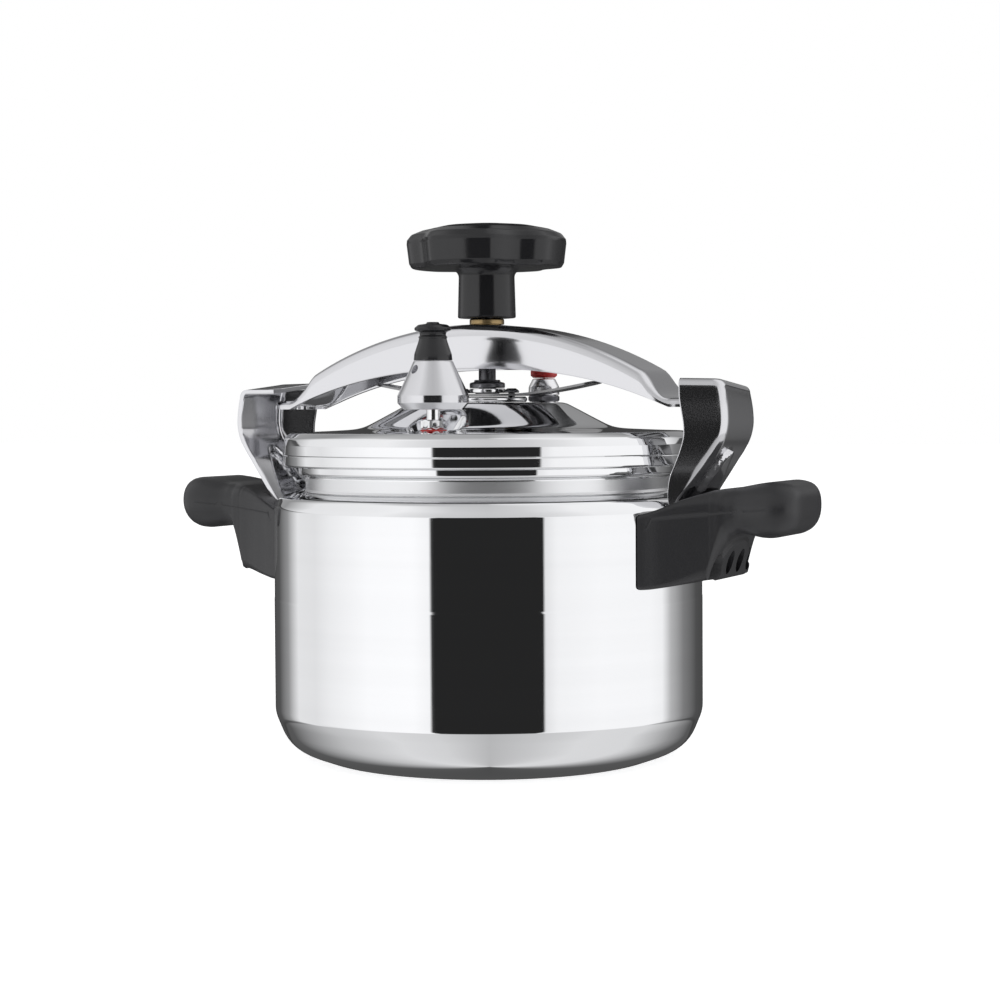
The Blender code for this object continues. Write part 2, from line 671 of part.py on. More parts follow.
def yoke_bottom(x):
    """Height of the flanges' lower edge."""
    ax = abs(x)
    share = min(ax / TONGUE_START_X, 1.0)
    curve = share ** 2.4
    return FLANGE_CENTRE_Z + (TONGUE_BOTTOM_Z - FLANGE_CENTRE_Z) * curve


def yoke_half_width(x):
    """Half width: straight, then drawn in and rounded at the tongue's tip."""
    ax = abs(x)
    if ax <= 98.0:
        return YOKE_HALF_WIDTH
    if ax <= 110.0:
        return YOKE_HALF_WIDTH - 2.0 * (ax - 98.0) / 12.0
    run = (ax - 110.0) / (TONGUE_TIP_X - 110.0)
    return 11.0 + 8.0 * math.sqrt(max(1.0 - run * run, 0.0))


def yoke_section(x):
    """An upturned channel section with eased top edges."""
    top, bottom, half = yoke_top(x), yoke_bottom(x), yoke_half_width(x)
    ease = min(3.0, (top - bottom) * 0.45)
    sheet = min(YOKE_SHEET, (top - bottom) * 0.6)
    inner = half - YOKE_SHEET
    outer_side = [(x, half, bottom), (x, half, top - ease), (x, half - ease * 0.3, top - ease * 0.3),
                  (x, half - ease, top)]
    inner_side = [(x, inner, bottom), (x, inner, top - sheet - 1.0), (x, inner - 1.0, top - sheet)]
    mirrored_out = [(x, -y, z) for x, y, z in outer_side]
    mirrored_in = [(x, -y, z) for x, y, z in inner_side]
    return outer_side + mirrored_out[::-1] + mirrored_in + inner_side[::-1]


def make_yoke(yoke_axis):
    """The arched steel channel with a bush in its middle."""
    half_stations = [14.0, 30.0, 44.0, 58.0, 70.0, 80.0, 88.0, 92.0, 95.0, 98.0, 101.0, 103.5,
                     106.0, 110.0, 114.0, 117.0, 118.8, TONGUE_TIP_X]
    stations = [-x for x in reversed(half_stations)] + [0.0] + half_stations
    bm = bmesh.new()
    ring_loft(bm, [yoke_section(x) for x in stations])
    bmesh.ops.triangulate(bm, faces=bm.faces)
    yoke = finish_object("yoke", bm, "steel", yoke_axis)
    bm = bmesh.new()
    cylinder_mesh(bm, 7.3, 205.0, 230.0, segments=24)
    cut(yoke, cutter("bush_hole_cutter", bm))
    bush = [(SCREW_R + GAP, 214.0), (7.0, 214.0), (7.0, 221.3), (8.9, 221.3), (8.9, 224.3),
            (SCREW_R + GAP, 224.3)]
    lathe("yoke_bush", bush, "brass", yoke_axis)
    washer("bush_clip", 7.3, 10.4, 216.3, 217.6, "dark_steel", yoke_axis)


# ---------------------------------------------------------------- screw and knob

def make_spindle(knob_axis):
    """The clamping screw with its captured foot."""
    profile = [(0.0, 184.7), (FOOT_R - 1.0, 184.7), (FOOT_R, 185.4), (FOOT_R, 188.5),
               (SCREW_R, 188.5), (SCREW_R, 257.2), (SCREW_R - 1.0, 258.2), (0.0, 258.2)]
    lathe("screw_spindle", profile, "steel", knob_axis)
    insert = [(SCREW_R + GAP, 232.4), (7.5, 232.4), (7.5, 256.0), (SCREW_R + GAP, 256.0)]
    lathe("knob_insert", insert, "brass", knob_axis)


def knob_radius(angle, radius):
    """Lobed outline: broad lobes with shallow scallops between them."""
    pitch = 2.0 * math.pi / KNOB_LOBES
    off = (angle - KNOB_LOBE_ANGLE) % pitch - pitch / 2.0
    share = min(abs(off) / KNOB_SCALLOP_HALF_ANGLE, 1.0)
    dip = KNOB_SCALLOP * math.cos(share * math.pi / 2.0) ** 2
    return radius - dip * radius / KNOB_R


def make_knob(knob_axis):
    """The black lobed knob, hollowed for the bush and the insert."""
    segments = ROUND_STEPS
    profile = [(0.0, 258.6, 0), (7.8, 258.6, 0), (7.8, 231.8, 0), (9.7, 231.8, 0),
               (9.7, KNOB_HUB_Z, 0), (KNOB_HUB_R, KNOB_HUB_Z, 0), (14.4, 247.6, 0),
               (16.2, KNOB_UNDER_Z, 0), (37.6, KNOB_UNDER_Z, 1), (39.4, 251.4, 1),
               (KNOB_R, 263.4, 1), (40.2, 265.8, 1), (37.0, 268.0, 1), (29.0, 270.3, 1),
               (17.0, 272.0, 1), (0.0, KNOB_TOP_Z, 0)]
    rings = []
    for radius, z, lobed in profile:
        ring = circle(radius, z, segments)
        if lobed:
            ring = []
            for i in range(segments):
                angle = 2.0 * math.pi * i / segments
                r = knob_radius(angle, radius)
                ring.append((r * math.cos(angle), r * math.sin(angle), z))
        rings.append(ring)
    bm = bmesh.new()
    ring_loft(bm, rings, False, False)
    finish_object("knob", bm, "bakelite", knob_axis)


# ---------------------------------------------------------------- assembly

def main():
    """Build every piece in the closed, untightened position."""
    clear_scene()
    cover = axis_empty("cover_axis", (0.0, 0.0, 0.0))
    knob_axis = axis_empty("knob_axis", (0.0, 0.0, 0.0))
    yoke_axis = axis_empty("yoke_axis", (0.0, 0.0, 0.0))
    weight = axis_empty("weight_axis", (0.0, VENT_Y, 0.0))
    relief = axis_empty("relief_axis", (RELIEF_X, RELIEF_Y, 0.0))
    screw_hole_cutter()
    make_pot_shell()
    tools = handle_cutters()
    for side_name, side in (("right", 0.0), ("left", math.pi)):
        make_ear(f"ear_{side_name}", side)
        make_handle(f"handle_{side_name}", side, tools)
    make_rivets()
    make_handle_screws()
    make_gasket(cover)
    make_lid(cover)
    make_hub(cover)
    make_leaf_spring(cover)
    make_vent(cover)
    make_weight(weight)
    make_relief(cover, relief)
    make_relief_spring(cover)
    make_yoke(yoke_axis)
    make_spindle(knob_axis)
    make_knob(knob_axis)


main()
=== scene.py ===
"""Finished looks for the stovetop pressure cooker.

Every finished piece is built in millimetres about its own axis, rides on the frame's bodies and
stands for the frame's plainer part. The add-on's panel holds the sizes and colours to change.
"""

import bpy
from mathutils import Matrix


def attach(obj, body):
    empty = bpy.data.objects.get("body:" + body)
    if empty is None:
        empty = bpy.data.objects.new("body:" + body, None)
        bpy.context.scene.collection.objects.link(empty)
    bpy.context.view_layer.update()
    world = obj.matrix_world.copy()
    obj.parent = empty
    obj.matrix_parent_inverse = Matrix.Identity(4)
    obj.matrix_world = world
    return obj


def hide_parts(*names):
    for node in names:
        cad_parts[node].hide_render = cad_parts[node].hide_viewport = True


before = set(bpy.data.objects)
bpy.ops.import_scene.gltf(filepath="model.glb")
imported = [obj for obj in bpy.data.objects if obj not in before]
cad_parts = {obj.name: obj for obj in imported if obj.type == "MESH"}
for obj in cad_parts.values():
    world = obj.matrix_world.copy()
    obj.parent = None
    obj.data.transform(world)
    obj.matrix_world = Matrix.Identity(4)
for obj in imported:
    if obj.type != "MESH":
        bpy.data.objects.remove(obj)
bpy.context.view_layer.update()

import math

import bmesh
import bpy
from mathutils import Matrix, Vector

bl_info = {
    "name": "Pressure Cooker Looks",
    "version": (1, 0, 0),
    "blender": (4, 5, 0),
    "location": "View3D > Sidebar > Cooker",
    "description": "Builds the finished pieces of a stovetop pressure cooker on its frame",
    "category": "Object",
}

MM = 0.001
AXIS = (0.0, 0.0, 0.0)
SIDES = (("right", 0.0), ("left", math.pi))
VENT_AT = (0.0, -62.5, 0.0)
RELIEF_AT = (18.9, 29.5, 0.0)
RIVET_TURN, RIVET_Z = math.radians(7.3), 112.0
SCREW_Z = 104.0


# ---------------------------------------------------------------- settings

def length_setting(name, description, default, low, high):
    """A length that the panel can change."""
    return bpy.props.FloatProperty(name=name, description=description, default=default, min=low,
                                   max=high, unit="LENGTH")


def colour_setting(name, description, default):
    """A colour that the panel can change."""
    return bpy.props.FloatVectorProperty(name=name, description=description, subtype="COLOR",
                                         size=3, min=0.0, max=1.0, default=default)


class CookerSizes(bpy.types.PropertyGroup):
    """Small sizes of the finish that a maker may want to change."""
    edge_round: length_setting(
        "Edge rounding", "Radius on the turned parts' outer edges", 0.0004, 0.0001, 0.001)
    thread_pitch: length_setting(
        "Thread pitch", "Lead of the clamping screw's thread", 0.003, 0.002, 0.004)
    thread_depth: length_setting(
        "Thread depth", "Depth of the clamping screw's thread", 0.0009, 0.0004, 0.0012)
    sheet_steel: length_setting(
        "Ear sheet", "Thickness of the bent steel ears", 0.0023, 0.0015, 0.003)
    yoke_sheet: length_setting(
        "Yoke sheet", "Thickness of the yoke's steel channel", 0.0026, 0.002, 0.003)
    round_segments: bpy.props.IntProperty(
        name="Round segments", description="Segments round the pot and lid",
        default=256, min=64, max=512)


class CookerColours(bpy.types.PropertyGroup):
    """Base colours of the finishes."""
    aluminium: colour_setting(
        "Aluminium", "Polished aluminium of the pot and lid", (0.90, 0.905, 0.915))
    steel: colour_setting("Steel", "Polished steel of the yoke and ears", (0.92, 0.92, 0.93))
    dark_steel: colour_setting(
        "Dark steel", "Blackened steel of the retainer, clip and nuts", (0.14, 0.14, 0.15))
    brass: colour_setting("Brass", "Turned brass of the bush and inserts", (0.46, 0.33, 0.165))
    bakelite: colour_setting(
        "Bakelite", "Black moulded knob, cap and handles", (0.0125, 0.0125, 0.0138))
    silicone: colour_setting("Silicone", "Red seals and button", (0.55, 0.025, 0.03))
    rubber: colour_setting("Rubber", "Grey sealing ring", (0.19, 0.19, 0.19))


class CookerStage(bpy.types.PropertyGroup):
    """The studio: camera, panels and floor."""
    azimuth: bpy.props.FloatProperty(
        name="Camera azimuth", description="Direction of the camera round the cooker",
        default=math.radians(25.0), subtype="ANGLE")
    distance: length_setting(
        "Camera distance", "From the cooker's axis to the camera", 1.13, 0.5, 4.0)
    height: length_setting("Camera height", "Height of the camera over the floor", 0.178, 0.0, 2.0)
    brightness: bpy.props.FloatProperty(
        name="Brightness", description="Brightness of the studio's surround",
        default=1.0, min=0.0, max=20.0)


def sizes():
    """The maker's sizes, kept on the scene."""
    return bpy.context.scene.cooker_sizes


def colours():
    """The maker's colours, kept on the scene."""
    return bpy.context.scene.cooker_colours


# ---------------------------------------------------------------- shader groups

def node_group(name, inputs, outputs):
    """A new shader group with its named sockets; returns the tree and its two end nodes."""
    tree = bpy.data.node_groups.new(name, "ShaderNodeTree")
    for label, default in inputs:
        socket = tree.interface.new_socket(name=label, in_out="INPUT", socket_type="NodeSocketFloat")
        socket.default_value = default
    for label in outputs:
        tree.interface.new_socket(name=label, in_out="OUTPUT", socket_type="NodeSocketFloat")
    return tree, tree.nodes.new("NodeGroupInput"), tree.nodes.new("NodeGroupOutput")


def feed(tree, socket, value):
    """Feed a socket from another socket or a plain number."""
    if isinstance(value, (int, float)):
        socket.default_value = value
    else:
        tree.links.new(value, socket)


def math_node(tree, operation, first, second=None):
    """A Math node fed from sockets or plain numbers; returns its output."""
    node = tree.nodes.new("ShaderNodeMath")
    node.operation = operation
    for socket, value in zip(node.inputs, (first, second)):
        if value is not None:
            feed(tree, socket, value)
    return node.outputs[0]


def spread(tree, value, low, high):
    """Map 0..1 to low..high, where low and high are sockets or numbers."""
    node = tree.nodes.new("ShaderNodeMapRange")
    for label, source in (("Value", value), ("To Min", low), ("To Max", high)):
        feed(tree, node.inputs[label], source)
    return node.outputs["Result"]


def rise(tree, value, start, end):
    """A soft step from 0 at start to 1 at end."""
    node = tree.nodes.new("ShaderNodeMapRange")
    node.interpolation_type = "SMOOTHSTEP"
    node.inputs["From Min"].default_value, node.inputs["From Max"].default_value = start, end
    tree.links.new(value, node.inputs["Value"])
    return node.outputs["Result"]


def noise(tree, vector, scale, detail=2.0, roughness=0.5):
    """A noise texture on a vector; returns its value."""
    node = tree.nodes.new("ShaderNodeTexNoise")
    node.inputs["Detail"].default_value = detail
    node.inputs["Roughness"].default_value = roughness
    tree.links.new(vector, node.inputs["Vector"])
    feed(tree, node.inputs["Scale"], scale)
    return node.outputs["Fac"]


def object_position(tree):
    """The piece's own coordinates."""
    return tree.nodes.new("ShaderNodeTexCoord").outputs["Object"]


def turning_group():
    """Fine circular lines about the piece's own axis, as a lathe or a polishing wheel leaves."""
    tree, start, end = node_group("turning_marks", [("Lines", 2400.0), ("Breaks", 1.6)],
                                  ["Height", "Band"])
    split = tree.nodes.new("ShaderNodeSeparateXYZ")
    tree.links.new(object_position(tree), split.inputs[0])
    x, y, z = split.outputs
    radius = math_node(tree, "SQRT", math_node(
        tree, "ADD", math_node(tree, "MULTIPLY", x, x), math_node(tree, "MULTIPLY", y, y)))
    angle = math_node(tree, "ARCTAN2", y, x)
    along = tree.nodes.new("ShaderNodeCombineXYZ")
    for socket, value, often in zip(along.inputs, (radius, z, angle), ("Lines", "Lines", "Breaks")):
        tree.links.new(math_node(tree, "MULTIPLY", value, start.outputs[often]), socket)
    tree.links.new(noise(tree, along.outputs[0], 1.0, 3.0, 0.6), end.inputs["Height"])
    broad = tree.nodes.new("ShaderNodeVectorMath")
    broad.operation = "SCALE"
    broad.inputs["Scale"].default_value = 0.06
    tree.links.new(along.outputs[0], broad.inputs[0])
    tree.links.new(noise(tree, broad.outputs[0], 1.0, 2.0), end.inputs["Band"])
    return tree


def smudge_group():
    """Broad, faint changes in polish, from handling and wiping."""
    tree, start, end = node_group("polish_smudges", [("Scale", 26.0), ("Low", 0.05), ("High", 0.09)],
                                  ["Roughness", "Mask"])
    broad = noise(tree, object_position(tree), start.outputs["Scale"], 4.0, 0.62)
    mask = rise(tree, broad, 0.36, 0.68)
    tree.links.new(mask, end.inputs["Mask"])
    tree.links.new(spread(tree, mask, start.outputs["Low"], start.outputs["High"]),
                   end.inputs["Roughness"])
    return tree


def hairline_group():
    """Sparse hairline scratches in all directions."""
    tree, start, end = node_group("hairlines", [("Scale", 90.0)], ["Height"])
    total = None
    for tilt, stretch in ((0.4, 26.0), (1.9, 22.0), (2.7, 30.0)):
        turn = tree.nodes.new("ShaderNodeMapping")
        turn.inputs["Rotation"].default_value = (tilt, tilt * 1.7, tilt * 0.6)
        turn.inputs["Scale"].default_value = (1.0, stretch, 1.4)
        tree.links.new(object_position(tree), turn.inputs["Vector"])
        line = noise(tree, turn.outputs[0], start.outputs["Scale"], 1.0)
        thin = math_node(tree, "POWER", line, 9.0)
        total = thin if total is None else math_node(tree, "ADD", total, thin)
    tree.links.new(total, end.inputs["Height"])
    return tree


def grain_group():
    """The skin of a moulded part: fine grain with broad, shallow sinks."""
    tree, start, end = node_group("moulded_skin", [("Grain", 1500.0), ("Low", 0.3), ("High", 0.42)],
                                  ["Height", "Roughness", "Tone"])
    place = object_position(tree)
    fine = noise(tree, place, start.outputs["Grain"], 3.0, 0.65)
    broad = noise(tree, place, 38.0, 2.0)
    height = math_node(tree, "ADD", fine, math_node(tree, "MULTIPLY", broad, 1.5))
    tree.links.new(height, end.inputs["Height"])
    tree.links.new(spread(tree, broad, start.outputs["Low"], start.outputs["High"]),
                   end.inputs["Roughness"])
    tree.links.new(math_node(tree, "MULTIPLY", fine, broad), end.inputs["Tone"])
    return tree


def edge_group():
    """Where a piece's edges stand out: rubbed corners and crests."""
    tree, start, end = node_group("rubbed_edges", [("Start", 0.53), ("End", 0.62)], ["Mask"])
    ramp = tree.nodes.new("ShaderNodeMapRange")
    tree.links.new(tree.nodes.new("ShaderNodeNewGeometry").outputs["Pointiness"], ramp.inputs["Value"])
    tree.links.new(start.outputs["Start"], ramp.inputs["From Min"])
    tree.links.new(start.outputs["End"], ramp.inputs["From Max"])
    tree.links.new(ramp.outputs["Result"], end.inputs["Mask"])
    return tree


GROUPS = {}


def place_group(tree, name, **values):
    """Put a shader group in a material, with its own values."""
    makers = {"turning_marks": turning_group, "polish_smudges": smudge_group,
              "hairlines": hairline_group, "moulded_skin": grain_group, "rubbed_edges": edge_group}
    if name not in GROUPS:
        GROUPS[name] = makers[name]()
    node = tree.nodes.new("ShaderNodeGroup")
    node.node_tree = GROUPS[name]
    for label, value in values.items():
        node.inputs[label].default_value = value
    return node


# ---------------------------------------------------------------- materials

def new_material(name, colour, metallic, roughness):
    """A material with its Principled shader's even values set."""
    mat = bpy.data.materials.new(name)
    mat.use_nodes = True
    shader = mat.node_tree.nodes["Principled BSDF"]
    shader.inputs["Base Color"].default_value = (*colour, 1.0)
    shader.inputs["Metallic"].default_value = metallic
    shader.inputs["Roughness"].default_value = roughness
    return mat, mat.node_tree, shader


def add_bump(tree, shader, height, distance, under=None):
    """Bump from a height; several bumps chain through their normals."""
    bump = tree.nodes.new("ShaderNodeBump")
    bump.inputs["Strength"].default_value = 1.0
    bump.inputs["Distance"].default_value = distance
    tree.links.new(height, bump.inputs["Height"])
    if under is not None:
        tree.links.new(under.outputs[0], bump.inputs["Normal"])
    tree.links.new(bump.outputs[0], shader.inputs["Normal"])
    return bump


def tint(tree, shader, mask, first, second):
    """Base colour that runs from one colour to another by a mask."""
    mix = tree.nodes.new("ShaderNodeMix")
    mix.data_type = "RGBA"
    mix.inputs["A"].default_value = (*first, 1.0)
    mix.inputs["B"].default_value = (*second, 1.0)
    tree.links.new(mask, mix.inputs["Factor"])
    tree.links.new(mix.outputs["Result"], shader.inputs["Base Color"])


def shade(colour, factor):
    """A colour made lighter or darker."""
    return tuple(min(channel * factor, 1.0) for channel in colour)


BRUSH_FADE = 0.0008
RING_DEPTH = 0.000003


def polished_aluminium(name, low, high, lines, brushed=None):
    """Bright polished aluminium with faint rings from the polishing wheel; a band between the
    two brushed heights keeps its lathe finish."""
    colour = colours().aluminium
    mat, tree, shader = new_material(name, colour, 1.0, low)
    smudges = place_group(tree, "polish_smudges", Scale=17.0, Low=low, High=high)
    rings = place_group(tree, "turning_marks", Lines=lines, Breaks=1.2)
    roughness = smudges.outputs["Roughness"]
    if brushed:
        apart = tree.nodes.new("ShaderNodeSeparateXYZ")
        tree.links.new(object_position(tree), apart.inputs[0])
        low_end = rise(tree, apart.outputs["Z"], brushed[0], brushed[0] + BRUSH_FADE)
        high_end = rise(tree, apart.outputs["Z"], brushed[1], brushed[1] - BRUSH_FADE)
        band = math_node(tree, "MULTIPLY", low_end, high_end)
        rough = math_node(tree, "ADD", math_node(tree, "MULTIPLY", rings.outputs["Band"], 0.1), 0.26)
        roughness = math_node(tree, "ADD", roughness, math_node(tree, "MULTIPLY", band, rough))
    tree.links.new(roughness, shader.inputs["Roughness"])
    tint(tree, shader, rings.outputs["Band"], shade(colour, 0.955), shade(colour, 1.03))
    scratches = place_group(tree, "hairlines", Scale=70.0)
    first = add_bump(tree, shader, rings.outputs["Height"], RING_DEPTH)
    add_bump(tree, shader, scratches.outputs["Height"], 0.000004, under=first)
    return mat


def polished_steel(name="polished_steel", low=0.025, high=0.06, dim=1.0):
    """Mirror-polished steel sheet with hairlines and a little handling haze."""
    colour = shade(colours().steel, dim)
    mat, tree, shader = new_material(name, colour, 1.0, low)
    smudges = place_group(tree, "polish_smudges", Scale=30.0, Low=low, High=high)
    tree.links.new(smudges.outputs["Roughness"], shader.inputs["Roughness"])
    tint(tree, shader, smudges.outputs["Mask"], shade(colour, 1.02), shade(colour, 0.95))
    scratches = place_group(tree, "hairlines", Scale=95.0)
    add_bump(tree, shader, scratches.outputs["Height"], 0.00002)
    return mat


def turned_steel():
    """Turned and polished steel bar, with fine rings."""
    colour = colours().steel
    mat, tree, shader = new_material("turned_steel", colour, 1.0, 0.1)
    smudges = place_group(tree, "polish_smudges", Scale=60.0, Low=0.1, High=0.18)
    rings = place_group(tree, "turning_marks", Lines=5200.0, Breaks=0.8)
    tree.links.new(smudges.outputs["Roughness"], shader.inputs["Roughness"])
    tint(tree, shader, rings.outputs["Band"], shade(colour, 0.92), shade(colour, 1.02))
    add_bump(tree, shader, rings.outputs["Height"], 0.000012)
    return mat


def blackened_steel():
    """Blackened steel that shows brighter metal on rubbed edges."""
    colour = colours().dark_steel
    mat, tree, shader = new_material("blackened_steel", colour, 1.0, 0.32)
    smudges = place_group(tree, "polish_smudges", Scale=85.0, Low=0.24, High=0.42)
    worn = place_group(tree, "rubbed_edges", Start=0.52, End=0.6)
    skin = place_group(tree, "moulded_skin", Grain=2600.0)
    tree.links.new(smudges.outputs["Roughness"], shader.inputs["Roughness"])
    tint(tree, shader, worn.outputs["Mask"], colour, shade(colour, 2.6))
    add_bump(tree, shader, skin.outputs["Height"], 0.00003)
    return mat


def turned_brass():
    """Turned brass, slightly dulled between its rings."""
    colour = colours().brass
    mat, tree, shader = new_material("turned_brass", colour, 1.0, 0.2)
    smudges = place_group(tree, "polish_smudges", Scale=75.0, Low=0.24, High=0.38)
    rings = place_group(tree, "turning_marks", Lines=4200.0, Breaks=0.9)
    tree.links.new(smudges.outputs["Roughness"], shader.inputs["Roughness"])
    tint(tree, shader, rings.outputs["Band"], shade(colour, 0.62), shade(colour, 1.12))
    add_bump(tree, shader, rings.outputs["Height"], 0.00003)
    return mat


def black_bakelite(name, low, high, grain_depth, pale=1.0):
    """Satin black moulding with a fine skin and slightly rubbed crests."""
    colour = shade(colours().bakelite, pale)
    mat, tree, shader = new_material(name, colour, 0.0, low)
    shader.inputs["Specular IOR Level"].default_value = 0.5
    skin = place_group(tree, "moulded_skin", Grain=1350.0, Low=low, High=high)
    worn = place_group(tree, "rubbed_edges", Start=0.54, End=0.66)
    tree.links.new(skin.outputs["Roughness"], shader.inputs["Roughness"])
    tint(tree, shader, worn.outputs["Mask"], colour, shade(colour, 1.9))
    add_bump(tree, shader, skin.outputs["Height"], grain_depth)
    return mat


def soft_rubber(name, colour, low, high):
    """Rubber or silicone: matt with a faint bloom and fine mould texture."""
    mat, tree, shader = new_material(name, colour, 0.0, low)
    skin = place_group(tree, "moulded_skin", Grain=2100.0, Low=low, High=high)
    tree.links.new(skin.outputs["Roughness"], shader.inputs["Roughness"])
    tint(tree, shader, skin.outputs["Tone"], shade(colour, 0.86), shade(colour, 1.3))
    add_bump(tree, shader, skin.outputs["Height"], 0.00006)
    return mat


MATERIAL_MAKERS = {
    "pot_aluminium": lambda: polished_aluminium("pot_aluminium", 0.018, 0.04, 1500.0,
                                                (0.1362, 0.1442)),
    "lid_aluminium": lambda: polished_aluminium("lid_aluminium", 0.03, 0.06, 1700.0),
    "polished_steel": polished_steel,
    "satin_steel": lambda: polished_steel("satin_steel", 0.2, 0.28, 0.95),
    "spring_steel": lambda: polished_steel("spring_steel", 0.14, 0.24, 0.3),
    "turned_steel": turned_steel,
    "blackened_steel": blackened_steel,
    "turned_brass": turned_brass,
    "knob_bakelite": lambda: black_bakelite("knob_bakelite", 0.1, 0.18, 0.00002),
    "handle_bakelite": lambda: black_bakelite("handle_bakelite", 0.3, 0.4, 0.00006, 1.5),
    "red_silicone": lambda: soft_rubber("red_silicone", colours().silicone, 0.34, 0.5),
    "grey_rubber": lambda: soft_rubber("grey_rubber", colours().rubber, 0.55, 0.75),
}


def finish_of(name):
    """A finish, made the first time that a piece asks for it."""
    found = bpy.data.materials.get(name)
    return found if found else MATERIAL_MAKERS[name]()


# ---------------------------------------------------------------- mesh helpers

def rounded_profile(corners, steps=5, closed=False):
    """A profile whose corners (r, z, radius) are eased; (r, z) stays sharp."""
    points = []
    count = len(corners)
    for i, corner in enumerate(corners):
        here = Vector(corner[:2])
        ease = corner[2] if len(corner) > 2 else 0.0
        if ease <= 0.0 or (not closed and i in (0, count - 1)):
            points.append(tuple(here))
            continue
        back = Vector(corners[i - 1][:2]) - here
        ahead = Vector(corners[(i + 1) % count][:2]) - here
        half = back.angle(ahead) / 2.0
        reach = min(ease / max(math.tan(half), 1e-3), 0.49 * back.length, 0.49 * ahead.length)
        start = here + back.normalized() * reach
        stop = here + ahead.normalized() * reach
        for k in range(steps + 1):
            s = k / steps
            points.append(tuple(start * (1 - s) ** 2 + here * 2 * s * (1 - s) + stop * s ** 2))
    return points


def skin_rings(bm, rings, wrap=True, close_start=False, close_end=False):
    """Skin rows of points; a one-point row is a pole."""
    rows = [[bm.verts.new(p) for p in ring] for ring in rings]
    for low, high in zip(rows, rows[1:]):
        count = max(len(low), len(high))
        for i in range(count if wrap else count - 1):
            j = (i + 1) % count
            if len(low) == 1:
                corners = (low[0], high[i], high[j])
            elif len(high) == 1:
                corners = (low[i], low[j], high[0])
            else:
                corners = (low[i], low[j], high[j], high[i])
            bm.faces.new(corners)
    if close_start:
        bm.faces.new(rows[0])
    if close_end:
        bm.faces.new(rows[-1])
    return rows


def level_ring(r, z, segments, radius_at=None):
    """A level ring of points, or one point on the axis."""
    if r <= 1e-6:
        return [(0.0, 0.0, z)]
    ring = []
    for i in range(segments):
        angle = 2.0 * math.pi * i / segments
        radius = radius_at(angle, r, z) if radius_at else r
        ring.append((radius * math.cos(angle), radius * math.sin(angle), z))
    return ring


def turned(corners, segments=96, steps=5, closed=False, radius_at=None):
    """Turn a profile about Z; radius_at(angle, r, z) may change the radius."""
    bm = bmesh.new()
    profile = rounded_profile(corners, steps, closed)
    skin_rings(bm, [level_ring(r, z, segments, radius_at)
                    for r, z in profile + (profile[:1] if closed else [])])
    if closed:
        bmesh.ops.remove_doubles(bm, verts=bm.verts, dist=1e-5)
    return bm


def rod(bm, radius, z0, z1, matrix=None, segments=32):
    """Add a plain cylinder to a cutter's mesh."""
    place = (matrix or Matrix.Identity(4)) @ Matrix.Translation((0.0, 0.0, (z0 + z1) / 2.0))
    bmesh.ops.create_cone(bm, cap_ends=True, segments=segments, radius1=radius, radius2=radius,
                          depth=z1 - z0, matrix=place)


def box(size, at, turn=0.0):
    """A box-shaped cutter."""
    bm = bmesh.new()
    place = Matrix.Translation(at) @ Matrix.Rotation(turn, 4, "Z") @ Matrix.Diagonal((*size, 1.0))
    bmesh.ops.create_cube(bm, size=1.0, matrix=place)
    return bm


def radial_place(angle, z):
    """A frame whose Z axis points outwards from the pot's axis at a height."""
    return (Matrix.Translation((0.0, 0.0, z)) @ Matrix.Rotation(angle, 4, "Z")
            @ Matrix.Rotation(math.pi / 2.0, 4, "Y"))


def fixing_holes(bm, turn, rivet, screw):
    """Add one side's two rivet holes and its handle screw's hole to a cutter; each hole is given
    as its radius, its two ends and its segments."""
    for sign in (-1.0, 1.0):
        rod(bm, *rivet[:3], radial_place(turn + sign * RIVET_TURN, RIVET_Z), rivet[3])
    rod(bm, *screw[:3], radial_place(turn, SCREW_Z), screw[3])


def to_object(name, bm):
    """A bmesh in millimetres becomes an object in metres."""
    bmesh.ops.scale(bm, vec=(MM, MM, MM), verts=bm.verts)
    bmesh.ops.recalc_face_normals(bm, faces=bm.faces)
    mesh = bpy.data.meshes.new(name)
    bm.to_mesh(mesh)
    bm.free()
    obj = bpy.data.objects.new(name, mesh)
    bpy.context.scene.collection.objects.link(obj)
    return obj


def bake_modifiers(obj):
    """Replace the mesh by its modified form."""
    bpy.context.view_layer.update()
    graph = bpy.context.evaluated_depsgraph_get()
    mesh = bpy.data.meshes.new_from_object(obj.evaluated_get(graph))
    obj.modifiers.clear()
    obj.data = mesh


def carve(obj, *cutters):
    """Cut meshes in millimetres out of an object."""
    tools = []
    for bm in cutters:
        tool = to_object("carving_tool", bm)
        cutting = obj.modifiers.new("carve", "BOOLEAN")
        cutting.operation, cutting.solver, cutting.object = "DIFFERENCE", "EXACT", tool
        tools.append(tool)
    bake_modifiers(obj)
    for tool in tools:
        bpy.data.objects.remove(tool)


def ease_edges(obj, width, angle=40.0, segments=2):
    """Round the sharp edges of a sheet or carved piece."""
    bevel = obj.modifiers.new("ease", "BEVEL")
    bevel.width, bevel.segments = width * MM, segments
    bevel.limit_method, bevel.angle_limit = "ANGLE", math.radians(angle)
    bake_modifiers(obj)


def face_along(obj, axis, chosen):
    """Flip a sheet whose chosen faces look backwards along an axis."""
    total = sum((p.normal for p in obj.data.polygons if chosen(p.center)), Vector())
    if total[axis] < 0.0:
        obj.data.flip_normals()


def thicken(obj, thickness, offset=-1.0):
    """Give a single surface the thickness of its sheet."""
    sheet = obj.modifiers.new("sheet", "SOLIDIFY")
    sheet.thickness, sheet.offset = thickness, offset
    sheet.use_even_offset = True
    bake_modifiers(obj)


